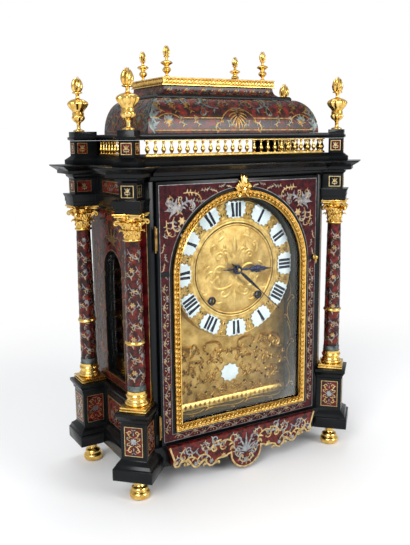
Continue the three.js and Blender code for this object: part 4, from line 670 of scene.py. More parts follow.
def filled(
    outline: Sequence[Point], holes: Sequence[Sequence[Point]], low: float, high: float,
) -> bmesh.types.BMesh:
    """A flat plate with holes, from one height to another."""
    shape = bmesh.new()
    edges = []
    for loop in (outline, *holes):
        verts = [shape.verts.new((x, y, low)) for x, y in loop]
        edges += [shape.edges.new((v, verts[(i + 1) % len(verts)])) for i, v in enumerate(verts)]
    bmesh.ops.triangle_fill(shape, use_beauty=True, edges=edges, normal=(0, 0, 1))
    out = bmesh.ops.extrude_face_region(shape, geom=shape.faces[:])["geom"]
    top = [g for g in out if isinstance(g, bmesh.types.BMVert)]
    bmesh.ops.translate(shape, vec=(0, 0, high - low), verts=top)
    bmesh.ops.dissolve_limit(
        shape, angle_limit=math.radians(0.5), verts=shape.verts[:], edges=shape.edges[:],
    )
    return shape


def rectangle(half_x: float, half_y: float, x: float = 0.0, y: float = 0.0) -> list[Point]:
    """A rectangle's corners, anticlockwise."""
    return [
        (x - half_x, y - half_y), (x + half_x, y - half_y),
        (x + half_x, y + half_y), (x - half_x, y + half_y),
    ]


def arc(radius: float, start: float, end: float, steps: int, x: float = 0, y: float = 0) -> list[Point]:
    """Points on a circle from one angle to another, in degrees."""
    angles = [math.radians(start + (end - start) * i / steps) for i in range(steps + 1)]
    return [(x + radius * math.cos(a), y + radius * math.sin(a)) for a in angles]


def arched(half: float, bottom: float, centre: float, steps: int = 48) -> list[Point]:
    """A round-headed outline, anticlockwise."""
    return [(-half, bottom), (half, bottom), *arc(half, 0, 180, steps, 0, centre)]


def spaced(path: Sequence[Point], pitch: float, lift: float) -> list[Matrix]:
    """Frames at an even pitch along a closed path: X along it, Z up.

    Args:
        path: The path's points.
        pitch: The distance wanted from one frame to the next.
        lift: Height above the path's plane.

    Returns:
        The frames.
    """
    ends = [*path[1:], path[0]]
    lengths = [math.dist(a, b) for a, b in zip(path, ends)]
    total = sum(lengths)
    count = round(total / pitch)
    made = []
    for i in range(count):
        far, k = (i + 0.5) * total / count, 0
        while far > lengths[k]:
            far -= lengths[k]
            k += 1
        a, b = Vector(path[k]), Vector(ends[k])
        spot, way = a.lerp(b, far / lengths[k]), b - a
        made.append(at(spot.x, spot.y, lift, math.degrees(math.atan2(way.y, way.x))))
    return made


# Sawn and chased ornament


@dataclass(frozen=True)
class Stroke:
    """One band of ornament, which starts at a point and bends as it goes."""

    metal: Metal
    cut: Cut
    x: float
    y: float
    heading: float
    length: float
    bend: float = 0.0
    curl: float = 0.0
    width: float = 1.2

    def breadth(self, t: float) -> float:
        """The width at a share of the length."""
        if self.cut is Cut.BAND:
            return self.width
        if self.cut is Cut.LEAF:
            return self.width * max(0.08, math.sin(math.pi * t ** 0.75))
        return self.width * (0.3 + 0.7 * math.sin(math.pi * min(1.0, 0.12 + 0.78 * t)))

    def frames(self, grow: float = 1.0, relief: float = 0.0) -> list[Matrix]:
        """Frames along the stroke, scaled across to its width.

        Args:
            grow: Scale of the whole stroke.
            relief: Height of the section as a share of its width, or zero for flat work.

        Returns:
            A matrix for each step.
        """
        turn = abs(self.bend) + abs(self.curl)
        steps = max(5, min(26, int(self.length / 2.2)), int(turn / 18))
        made = []
        x, y = self.x * grow, self.y * grow
        last = 0.0
        for i in range(steps + 1):
            t = i / steps
            middle = (t + last) / 2
            way = math.radians(self.heading + self.bend * middle + self.curl * middle ** 3)
            reach = (t - last) * self.length * grow
            x += reach * math.cos(way)
            y += reach * math.sin(way)
            now = self.heading + self.bend * t + self.curl * t ** 3
            wide = self.breadth(t) * grow
            tall = wide * relief if relief else 1.0
            made.append(
                Matrix.Translation((x, y, 0)) @ Matrix.Rotation(math.radians(now), 4, "Z")
                @ Matrix.Diagonal((1, wide, tall, 1)),
            )
            last = t
        return made

    def spot(self, t: float) -> tuple[float, float, float]:
        """The place and the heading at a share of the length."""
        frames = self.frames()
        place = frames[min(len(frames) - 1, round(t * (len(frames) - 1)))].to_translation()
        return place.x, place.y, self.heading + self.bend * t + self.curl * t ** 3

    def draw(self, shape: bmesh.types.BMesh, section: Sequence[Point], grow: float, relief: float) -> None:
        """Sweep the stroke into a shape, with a round eye where a scroll ends."""
        frames = self.frames(grow, relief)
        own = bmesh.new()
        sweep(own, section, frames)
        if self.cut is Cut.SCROLL and abs(self.curl) > 90:
            eye = self.breadth(1.0) * grow * 1.05
            top = max(b for _, b in section) * (eye * relief if relief else 1.0)
            low = min(b for _, b in section)
            place = frames[-1].to_translation()
            bmesh.ops.create_cone(
                own, cap_ends=True, cap_tris=False, segments=10, radius1=eye,
                radius2=eye * (0.55 if relief else 1.0), depth=top - low,
                matrix=Matrix.Translation((place.x, place.y, (top + low) / 2)),
            )
        absorb(shape, own, same)

    def moved(self, x: float, y: float) -> "Stroke":
        """The same stroke, moved in its plane."""
        return replace(self, x=self.x + x, y=self.y + y)


BRASS, TIN = Metal.BRASS, Metal.PEWTER
SCROLL, LEAF, BAND = Cut.SCROLL, Cut.LEAF, Cut.BAND
CHASED_SECTION = [(-0.5, -0.12), (0.5, -0.12), (0.42, 0.45), (0.0, 1.0), (-0.42, 0.45)]


def many(metal: Metal, cut: Cut, *rows: Sequence[float]) -> list[Stroke]:
    """Strokes of one metal and one cut: place, heading, length, bend, curl and width in each row."""
    return [Stroke(metal, cut, *row) for row in rows]


def fan(
    metal: Metal, x: float, y: float, heading: float, length: float, width: float,
    count: int, spread: float,
) -> list[Stroke]:
    """Leaves that fan out from one point, the middle one longest.

    Args:
        metal: Their metal.
        x, y: The point.
        heading: The middle leaf's direction in degrees.
        length: The middle leaf's length.
        width: The middle leaf's width.
        count: How many leaves.
        spread: The angle from the first to the last.

    Returns:
        The leaves.
    """
    made = []
    for i in range(count):
        side = 2 * i / (count - 1) - 1 if count > 1 else 0.0
        share = 1 - 0.34 * abs(side)
        made.append(Stroke(
            metal, LEAF, x, y, heading + side * spread * 0.4, length * share, side * 75, 0,
            width * share,
        ))
    return made


def branch(
    metal: Metal, x: float, y: float, heading: float, length: float, bend: float, curl: float,
    width: float = 1.6, leaves: int = 6, other: Optional[Metal] = None,
) -> list[Stroke]:
    """A scroll with leaves growing from both its sides.

    Args:
        metal: The scroll's metal.
        x, y: Where it starts.
        heading: The direction it starts in.
        length: Its length.
        bend: How far it turns evenly.
        curl: How far it turns towards its end.
        width: Its greatest width.
        leaves: How many leaves it bears.
        other: The leaves' metal, where it isn't the scroll's.

    Returns:
        The scroll and its leaves.
    """
    stem = Stroke(metal, SCROLL, x, y, heading, length, bend, curl, width)
    made = [stem]
    size = min(length * 0.24, width * 3.7)
    for i in range(leaves):
        t = 0.1 + 0.62 * i / max(1, leaves - 1)
        spot_x, spot_y, way = stem.spot(t)
        side = 1 if i % 2 else -1
        long = size * (1.05 - 0.5 * t)
        made.append(Stroke(
            other or metal, LEAF, spot_x, spot_y, way + side * 40, long, side * 65, 0, long * 0.3,
        ))
    return made


def flower(metal: Metal, x: float, y: float, radius: float, petals: int) -> list[Stroke]:
    """Petals round a point."""
    return [
        Stroke(metal, LEAF, x, y, i * 360 / petals, radius, 0, 0, radius * 0.55)
        for i in range(petals)
    ]


def rinceau(length: float, breadth: float, pitch: float) -> list[Stroke]:
    """A running vine along X, centred on the origin: a waved stem, leafy curls and flowers.

    Args:
        length: The vine's length.
        breadth: How far it swings from side to side.
        pitch: The length of one bay.

    Returns:
        Its strokes.
    """
    bays = max(2, round(length / pitch))
    pitch = length / bays
    size = breadth / 10
    made = []
    for bay in range(bays):
        side = 1 if bay % 2 == 0 else -1
        x = -length / 2 + bay * pitch
        metal, other = (BRASS, TIN) if bay % 2 == 0 else (TIN, BRASS)
        made += [
            Stroke(metal, BAND, x, 0, side * 42, pitch * 1.1, -side * 84, 0, 0.75 * size),
            *branch(metal, x + pitch * 0.14, side * breadth * 0.1, side * 74, pitch * 0.95,
                    -side * 150, -side * 210, 1.25 * size, 3, other),
            *fan(other, x + pitch * 0.62, side * breadth * 0.2, side * 62, 4.6 * size, 1.6 * size, 3, 110),
            Stroke(other, LEAF, x + pitch * 0.3, -side * breadth * 0.08, -side * 60, 4.8 * size, side * 50, 0, 1.6 * size),
            Stroke(metal, LEAF, x + pitch * 0.75, -side * breadth * 0.05, -side * 120, 4.2 * size, side * 60, 0, 1.4 * size),
        ]
    return made


def mirrored(strokes: Sequence[Stroke], up_down: bool = False) -> list[Stroke]:
    """Strokes with their mirror images across the Y axis, or across the X axis."""
    made = list(strokes)
    for s in strokes:
        x, y = (s.x, -s.y) if up_down else (-s.x, s.y)
        heading = -s.heading if up_down else 180 - s.heading
        made.append(replace(s, x=x, y=y, heading=heading, bend=-s.bend, curl=-s.curl))
    return made


@dataclass
class Marquetry:
    """The shell, the brass and the pewter of one sub-assembly."""

    name: str
    body: str = "case"
    shell: Surface = SHELL
    tone: dict[Metal, Surface] = field(default_factory=lambda: BRIGHT)
    ground: bmesh.types.BMesh = field(default_factory=bmesh.new)
    metals: dict[Metal, bmesh.types.BMesh] = field(
        default_factory=lambda: {metal: bmesh.new() for metal in Metal},
    )

    def sheet(
        self, place: Placing, outline: Sequence[Point], holes: Sequence[Sequence[Point]] = (),
    ) -> None:
        """Lay a sheet of shell.

        Args:
            place: Puts the flat work on the case.
            outline: The sheet's edge.
            holes: The edges of what is left out.
        """
        absorb(self.ground, filled(outline, holes, -0.1, 0.15), place)

    def line(
        self, place: Placing, points: Sequence[Point], width: float, closed: bool = True,
        metal: Metal = BRASS,
    ) -> None:
        """Lay a string of metal along a path."""
        strip = bmesh.new()
        band(strip, points, width, 0.05, 0.36, closed)
        absorb(self.metals[metal], strip, place)

    def inlay(self, place: Placing, strokes: Sequence[Stroke], grow: float = 1.0) -> None:
        """Lay strokes of both metals."""
        for metal in Metal:
            chosen = [s for s in strokes if s.metal is metal]
            if chosen:
                work = bmesh.new()
                for i, stroke in enumerate(chosen):
                    top = 0.3 + 0.012 * (i % 9)
                    stroke.draw(work, [(-0.5, 0.1), (0.5, 0.1), (0.5, top), (-0.5, top)], grow, 0.0)
                absorb(self.metals[metal], work, place)

    def panel(
        self, place: Placing, half_x: float, half_y: float, strokes: Sequence[Stroke],
        line: float = 0.7, grow: float = 1.0, metal: Metal = BRASS,
    ) -> None:
        """A rectangular panel with a string round it and its ornament."""
        self.sheet(place, rectangle(half_x, half_y))
        inner = line / 2
        self.line(place, rectangle(half_x - inner, half_y - inner), line, metal=metal)
        self.inlay(place, strokes, grow)

    def finish(self) -> None:
        """Make the objects."""
        if self.ground.faces:
            piece(f"{self.name}_shell", self.ground, self.shell, self.body, crease=50)
        for metal, shape in self.metals.items():
            if shape.faces:
                piece(f"{self.name}_{metal.value}", shape, self.tone[metal], self.body, crease=40)


def chased(strokes: Sequence[Stroke], relief: float, grow: float = 1.0) -> bmesh.types.BMesh:
    """Strokes with a ridge, as cast and chased ornament."""
    shape = bmesh.new()
    for stroke in strokes:
        stroke.draw(shape, CHASED_SECTION, grow, relief)
    return shape


def acanthus(width: float, height: float, curl: float) -> bmesh.types.BMesh:
    """An acanthus leaf that stands on the origin, leans along +Y and rolls over at its tip.

    Args:
        width: Its greatest width.
        height: Its height before the tip rolls over.
        curl: How far the tip stands forward.

    Returns:
        A closed leaf.
    """
    shape = bmesh.new()
    bmesh.ops.create_grid(shape, x_segments=8, y_segments=12, size=0.5)
    for vert in shape.verts:
        across, along = vert.co.x * 2, vert.co.y + 0.5
        lobes = 1 + 0.3 * math.cos(along * FULL_TURN * 2.6)
        taper = min(1.0, (1.06 - along) / 0.34)
        half = width / 2 * (0.66 + 0.34 * math.sin(math.pi * along)) * lobes * max(0.2, taper)
        roll = max(0.0, along - 0.62) / 0.38 * math.radians(165)
        radius = curl / 2
        stem = min(along, 0.62) / 0.62 * (height - radius)
        ribs = 0.08 * width * (abs(across) * 1.4 + 0.6 * math.cos(across * math.pi * 3))
        vert.co = (
            across * half,
            radius * (1 - math.cos(roll)) + 0.12 * width * along - ribs * math.cos(roll),
            stem + radius * math.sin(roll) - 0.1 * width * abs(across) * lobes,
        )
    bmesh.ops.solidify(shape, geom=shape.faces[:], thickness=0.7)
    return shape


# Sub-assemblies


@dataclass(frozen=True)
class Corner:
    """A corner of the clock: the axis of its column and the turn of what stands on it."""

    name: str
    x: float
    y: float
    turn: float
    faces: tuple[float, ...]


CORNERS = (
    Corner("front_left", -165.62, -59.468, 45, (-135, -45)),
    Corner("front_right", 165.62, -59.468, 45, (-45, -135)),
    Corner("back_left", -176.8, 83.4, 0, (180, -90)),
    Corner("back_right", 176.8, 83.4, 0, (0, -90)),
)
FLEURON = mirrored([
    *many(BRASS, LEAF, (0, -1.5, 90, 6.5, 0, 0, 2.2), (0, -1.5, 50, 6, 40, 0, 1.6), (0, -2.2, -90, 3.8, 0, 0, 1.6)),
    *many(TIN, LEAF, (1, 1.6, 20, 4.2, 60, 0, 1.1), (0.4, -2.2, -45, 4, 40, 0, 1.1)),
    *many(BRASS, SCROLL, (0.6, -3.6, 8, 6.6, 60, 220, 0.8)),
])
PEDESTAL_ORNAMENT = mirrored(mirrored([
    *branch(BRASS, 1.6, 5.6, 20, 17, 70, 210, 1.2, 4), *branch(BRASS, 4.6, 1.8, 0, 9, 60, 200, 0.9, 3, TIN),
    *many(TIN, LEAF, (0, 8.2, 90, 5.6, 0, 0, 1.5), (0.4, 15.2, 60, 4.2, -60, 0, 1.1)),
]), up_down=True) + flower(TIN, 0, 0, 5.2, 8)


@dataclass
class Feet:
    """Four gilt bun feet."""

    profile: tuple[Point, ...] = (
        (0, 0), (0, 0), (11.6, 0), (11.6, 0), (13.4, 1.8), (14.2, 5.4), (13.6, 8.2), (11.4, 10.7),
        (11.4, 10.7), (10.9, 11.4), (11.3, 12.2), (11.3, 12.2), (11.6, 13.8), (10.6, 15.7), (10.6, 15.7),
        (7.6, 17.6), (6, 21.6), (6.3, 26), (8.2, 29.4), (10, 30.8), (10, 30.8), (10, 33.2), (10, 33.2), (0, 33.2),
    )

    def build(self) -> None:
        """Make one foot under each corner."""
        for corner in CORNERS:
            shape = lathe(flow(self.profile), 44)
            bmesh.ops.translate(shape, vec=(corner.x, corner.y, 0), verts=shape.verts[:])
            node = f"foot_{corner.name}"
            piece(f"bun_{node}", shape, GILT, nodes=[node])


@dataclass
class Carcase:
    """Everything of black wood, each edge eased as a polisher leaves it."""

    edge: float = 0.4
    nodes: tuple[str, ...] = (
        "plinth", "case_body", "back_door", "entablature", "gallery_course", "gallery_rail",
    )

    def build(self) -> None:
        """Make the eased copies of the black pieces."""
        for node in self.nodes:
            shape = eased(node_copy(node), self.edge)
            finish = RUBBED_EBONY if node == "gallery_course" else EBONY
            piece(f"polished_{node}", shape, finish, body_of(node), [node])


@dataclass
class Blocks:
    """Marquetry panels on the pedestals, the frieze blocks and the gallery dies."""

    die_half: float = 17.8
    frieze_half: float = 11.5
    back_frieze_half: float = 14.0
    gallery_half: float = 10.3
    pedestal_z: float = 86.5
    frieze_z: float = 412.5
    gallery_z: float = 464.5
    side_die_x: float = 160.0
    side_frieze_x: float = 157.0

    def build(self) -> None:
        """Lay every block's panels."""
        work = Marquetry("block_panels")
        dark = Marquetry("black_block_panels", shell=EBONY)
        for corner in CORNERS:
            for facing in corner.faces:
                way = math.radians(facing)

                def spot(reach: float, z: float) -> Placing:
                    return by_matrix(face_frame(
                        corner.x + reach * math.cos(way), corner.y + reach * math.sin(way), z, facing,
                    ))

                work.panel(spot(self.die_half, self.pedestal_z), 12.6, 20.4, PEDESTAL_ORNAMENT, 0.8)
                side = self.back_frieze_half if facing in (0, 180) else self.frieze_half
                string, ground = (1.0, dark) if corner.turn else (0.6, work)
                ground.panel(spot(side, self.frieze_z), 8.4 if corner.turn else 10.4, 7.6, FLEURON, string)
                work.panel(spot(self.gallery_half, self.gallery_z), 7.2, 7.2, FLEURON, string)
        for facing, side in ((0, 1), (180, -1)):
            work.panel(
                by_matrix(face_frame(side * self.side_die_x, 22, self.pedestal_z, facing)), 34, 20,
                mirrored([
                    *branch(BRASS, 3, -12, 60, 40, -80, -240, 2, 7, TIN), *branch(TIN, 6, -14, -6, 34, 70, 240, 1.8, 7),
                    *branch(BRASS, 3, 4, 60, 18, -60, -220, 1.4, 4, TIN),
                ]) + fan(BRASS, 0, -6, 90, 15, 4, 7, 170), 1.2,
            )
            work.panel(
                by_matrix(face_frame(side * self.side_frieze_x, 13, self.frieze_z, facing)), 40, 8,
                rinceau(72, 9, 18), 0.8,
            )
        work.finish()
        dark.finish()


@dataclass
class Columns:
    """Four columns: gilt base and capital, a shell shaft with a vine, a gilt ring."""

    base_z: float = 126.3
    collar_z: float = 153.0
    shaft_z: float = 161.0
    ring_z: float = 215.5
    shaft_top: float = 349.8
    capital_z: float = 350.1
    radius: float = 11.5
    top_radius: float = 9.9
    base_rings: tuple[Point, ...] = (
        (0, 6.6), (0, 6.6), (14.6, 6.6), (14.6, 6.6), (15.7, 8.8), (15.5, 10.8), (14.2, 12.2), (14.2, 12.2),
        (13.7, 12.2), (13.7, 13.1), (13.7, 13.1), (12.5, 15.4), (13.2, 17.8), (13.2, 17.8), (13.9, 17.8),
        (13.9, 18.5), (13.9, 18.5), (14.5, 20.1), (13.8, 21.6), (13.8, 21.6), (12.9, 21.8), (12.6, 24.6),
        (12.9, 26.4), (12.9, 26.4), (0, 26.4),
    )
    bell: tuple[Point, ...] = (
        (0, 0), (0, 0), (11, 0), (11, 0), (12.2, 1.2), (11.9, 2.6), (10.4, 3), (10.4, 3), (10.6, 12),
        (12.6, 22), (16.4, 30.5), (16.4, 30.5), (0, 30.5),
    )
    tiers: tuple[tuple[float, ...], ...] = (
        (8, 0.0, 10.3, 3.0, 9.6, 12.5, 5.2), (8, 0.5, 10.9, 7.0, 9.8, 18.5, 6.4), (8, 0.0, 12.2, 15.5, 8.6, 14, 6),
    )

    def shaft_radius(self, z: float) -> float:
        """The shaft's radius at a height."""
        share = max(0.0, (z - self.ring_z - 5) / (self.shaft_top - self.ring_z - 5))
        return self.radius - (self.radius - self.top_radius) * share ** 1.3

    def base(self) -> bmesh.types.BMesh:
        """The square plinth, its step and the turned mouldings."""
        shape = bmesh.new()
        for half, low, high in ((18.3, 0, 3.1), (17.0, 3.1, 4.3), (17.9, 4.3, 6.8)):
            absorb(shape, eased(filled(rectangle(half, half), (), low, high), 0.45), same)
        absorb(shape, lathe(flow(self.base_rings, 3), 48), same)
        return shape

    def capital(self) -> bmesh.types.BMesh:
        """A bell with three tiers of leaves, corner volutes and a hollow-sided slab."""
        shape = lathe(flow(self.bell, 3), 32)
        for count, shift, radius, rise, width, height, curl in self.tiers:
            absorb(shape, copies(acanthus(width, height, curl), [by_matrix(
                Matrix.Rotation(math.radians((i + shift) * 360 / count - 90), 4, "Z")
                @ Matrix.Translation((0, radius, rise))
            ) for i in range(int(count))]), same)
        volute = bmesh.new()
        for stroke in (
            Stroke(BRASS, BAND, 12, 17, 74, 24, -50, -290, 2.2), Stroke(BRASS, LEAF, 14, 19, 60, 11, -40, -40, 3.6),
        ):
            sweep(volute, [(-0.35, -1.6), (0.35, -1.6), (0.6, 0), (0.35, 1.6), (-0.35, 1.6)], stroke.frames())
        stand = Matrix.Rotation(math.pi / 2, 4, "X")
        absorb(shape, copies(volute, [by_matrix(
            Matrix.Rotation(math.radians(45 + 90 * i), 4, "Z") @ stand,
        ) for i in range(4)]), same)
        slab = []
        for quarter in range(4):
            turn = Matrix.Rotation(quarter * math.pi / 2, 2)
            for i in range(9):
                t = i / 4 - 1
                slab.append(tuple(turn @ Vector((15.4 + 3.9 * t * t, t * 18.1))))
        for grow, bottom, top in ((0.9, 30.4, 33.2), (1.0, 33.2, 35.1)):
            plate = filled([(x * grow, y * grow) for x, y in slab], (), bottom, top)
            absorb(shape, eased(plate, 0.5, 50), same)
        rose = chased(flower(BRASS, 0, 0, 3.6, 6), 0.6)
        absorb(shape, copies(rose, [by_matrix(face_frame(
            15.5 * math.cos(a), 15.5 * math.sin(a), 32.4, math.degrees(a),
        )) for a in (0, math.pi / 2, math.pi, -math.pi / 2)]), same)
        return shape

    def vine(self) -> list[Stroke]:
        """The ornament of a shaft, drawn upright: X round the shaft and Y up."""
        strokes = []
        for row in range(8):
            for turn in range(3):
                x, y = turn * 24 - 24 + 12 * (row % 2), 4 + row * 22.5
                strokes += branch(TIN, x - 10, y + 19, -64, 36, 44, 200, 1.5, 6, TIN)
                strokes += branch(BRASS, x + 8, y + 1, 108, 25, 64, 220, 1.2, 5)
                strokes += flower(TIN if row % 2 else BRASS, x + 8, y + 14, 4.0, 6)
                strokes += branch(TIN, x - 4, y + 2, 190, 12, 60, 220, 0.9, 3, BRASS)
        return strokes

    def build(self) -> None:
        """Make four columns."""
        vine = self.vine()
        shaft_profile = [(0, self.shaft_z), (0, self.shaft_z), (self.radius, self.shaft_z)] + [
            (self.shaft_radius(z), z) for z in range(int(self.shaft_z) + 1, int(self.shaft_top), 6)
        ] + [(self.top_radius, self.shaft_top), (0, self.shaft_top)]
        collar_profile = flow((
            (0, 0), (0, 0), (12.1, 0), (12.1, 0), (12.2, 5), (11.8, 7.5), (11.8, 7.5), (0, 7.5),
        ), 3)
        ring_profile = flow((
            (10.5, 0), (10.5, 0), (12.2, 0), (12.2, 0), (12.9, 1), (13.6, 2.5), (12.9, 4), (12.2, 5), (12.2, 5),
            (10.5, 5), (10.5, 5), (10.5, 0),
        ), 3)
        for corner in CORNERS:
            def stood(shape: bmesh.types.BMesh, z: float) -> bmesh.types.BMesh:
                whole = bmesh.new()
                absorb(whole, shape, by_matrix(at(corner.x, corner.y, z, corner.turn)))
                return whole

            for kind, shape, z in (("base", self.base(), self.base_z), ("capital", self.capital(), self.capital_z)):
                node = f"column_{kind}_{corner.name}"
                piece(f"gilt_{node}", stood(shape, z), GILT, nodes=[node], crease=38)
            node = f"column_shaft_{corner.name}"
            piece(f"shell_{node}", stood(lathe(shaft_profile, 48), 0), BROWN_SHELL, nodes=[node])
            piece(f"pewter_collar_{corner.name}", stood(lathe(collar_profile, 48), self.collar_z), AGED_PEWTER)
            piece(f"gilt_ring_{corner.name}", stood(lathe(ring_profile, 48), self.ring_z), GILT)
            work = Marquetry(f"shaft_inlay_{corner.name}", tone=DULL)

            def wrap(point: Vector) -> Vector:
                z = min(self.shaft_z + point.y, self.shaft_top - 0.5)
                angle = math.radians(corner.turn - 90) + point.x / self.radius
                reach = self.shaft_radius(z) + point.z - 0.12
                return Vector((corner.x + reach * math.cos(angle), corner.y + reach * math.sin(angle), z))

            work.inlay(wrap, vine)
            work.finish()


@dataclass
class CaseSides:
    """The side walls round their windows, and the canted strips beside the door."""

    wall_x: float = 155.0
    window_y: float = 32.45
    window_half: float = 30.5
    window_bottom: float = 141.3
    window_spring: float = 293.5
    middle_z: float = 254.5
    cant: tuple[float, float] = (147.5, -50.5)

    def build(self) -> None:
        """Lay the shell and the inlay of both sides."""
        work = Marquetry("side_panels", shell=BROWN_SHELL, tone=AGED)
        for facing, side in ((0, 1), (180, -1)):
            place = by_matrix(face_frame(side * self.wall_x, self.window_y, 0, facing))
            hole = arched(self.window_half, self.window_bottom, self.window_spring, 32)
            work.sheet(place, rectangle(68, 126, 0, self.middle_z), [hole])
            work.line(place, rectangle(67.3, 125.3, 0, self.middle_z), 1.0)
            work.line(place, arched(self.window_half + 1.3, self.window_bottom - 1.3, self.window_spring, 32), 1.0)
            stile = []
            for row in range(6):
                y = 146 + row * 30
                stile += branch(BRASS, 38 + 5 * (row % 2), y, 62, 44, 50, 220, 1.8, 6, TIN)
                stile += branch(TIN, 61 - 5 * (row % 2), y + 6, 112, 32, -60, -220, 1.5, 5, BRASS)
                stile += flower(BRASS if row % 2 else TIN, 50, y + 2, 4.4, 6)
            work.inlay(place, mirrored(stile))
            work.inlay(place, mirrored([
                *branch(BRASS, 2, 338, 34, 52, -70, -250, 1.9, 8, TIN), *branch(TIN, 8, 348, 72, 34, -100, -220, 1.6, 6, BRASS),
                *branch(TIN, 46, 330, -50, 30, 60, 240, 1.5, 5), *branch(BRASS, 44, 358, 10, 26, 60, 240, 1.5, 5, TIN),
                *fan(BRASS, 0, 334, 90, 26, 4.4, 7, 180),
            ]))
        work.finish()
        canted = Marquetry("canted_panels", shell=CRIMSON_SHELL)
        for side in (-1, 1):
            angle = math.degrees(math.atan2(-15, side * 14))
            place = by_matrix(face_frame(side * self.cant[0], self.cant[1], self.middle_z, angle))
            canted.sheet(place, rectangle(6.8, 122))
            canted.line(place, rectangle(6.4, 121.6), 0.7)
        canted.finish()


@dataclass
class Panes:
    """The glass of the door and of both side windows, each in its node's own shape."""

    nodes: tuple[str, ...] = ("side_glass_left", "side_glass_right", "door_glass")

    def build(self) -> None:
        """Put the glass on the panes."""
        for node in self.nodes:
            dress(node, GLASS)


@dataclass
class Gallery:
    """Turned gilt balusters between their foot and top strips."""

    foot_z: float = 454.3
    runs: tuple[tuple, ...] = (
        ("gallery_front", 25, 278.0, (0, -54.8), 0), ("gallery_left", 12, 108.8, (-152, 10.35), 90),
        ("gallery_right", 12, 108.8, (152, 10.35), 90),
    )
    profile: tuple[Point, ...] = (
        (0, 2), (0, 2), (2.3, 2), (2.3, 2), (2.3, 3), (1.2, 3.6), (1.5, 4.6), (2.9, 7.4), (3, 9),
        (1.9, 11.6), (1.1, 14), (1, 16), (1, 16), (2, 16.6), (2, 17.4), (2, 17.4), (1.2, 17.9),
        (2.2, 19.4), (0, 19.4),
    )

    def run(self, count: int, length: float) -> bmesh.types.BMesh:
        """One run along X with its strips."""
        placings = [by_matrix(at((i / (count - 1) - 0.5) * length, 0, 0)) for i in range(count)]
        shape = copies(lathe(flow(self.profile, 2), 12), placings)
        for low, high in ((0, 2.3), (19, 20.2)):
            absorb(shape, filled(rectangle(length / 2 + 3.1, 2.35), (), low, high), same)
        return shape

    def build(self) -> None:
        """Make the front run and both side runs."""
        for node, count, length, (x, y), turn in self.runs:
            whole = bmesh.new()
            absorb(whole, self.run(count, length), by_matrix(at(x, y, self.foot_z, turn)))
            piece(f"turned_{node}", whole, GILT, nodes=[node])


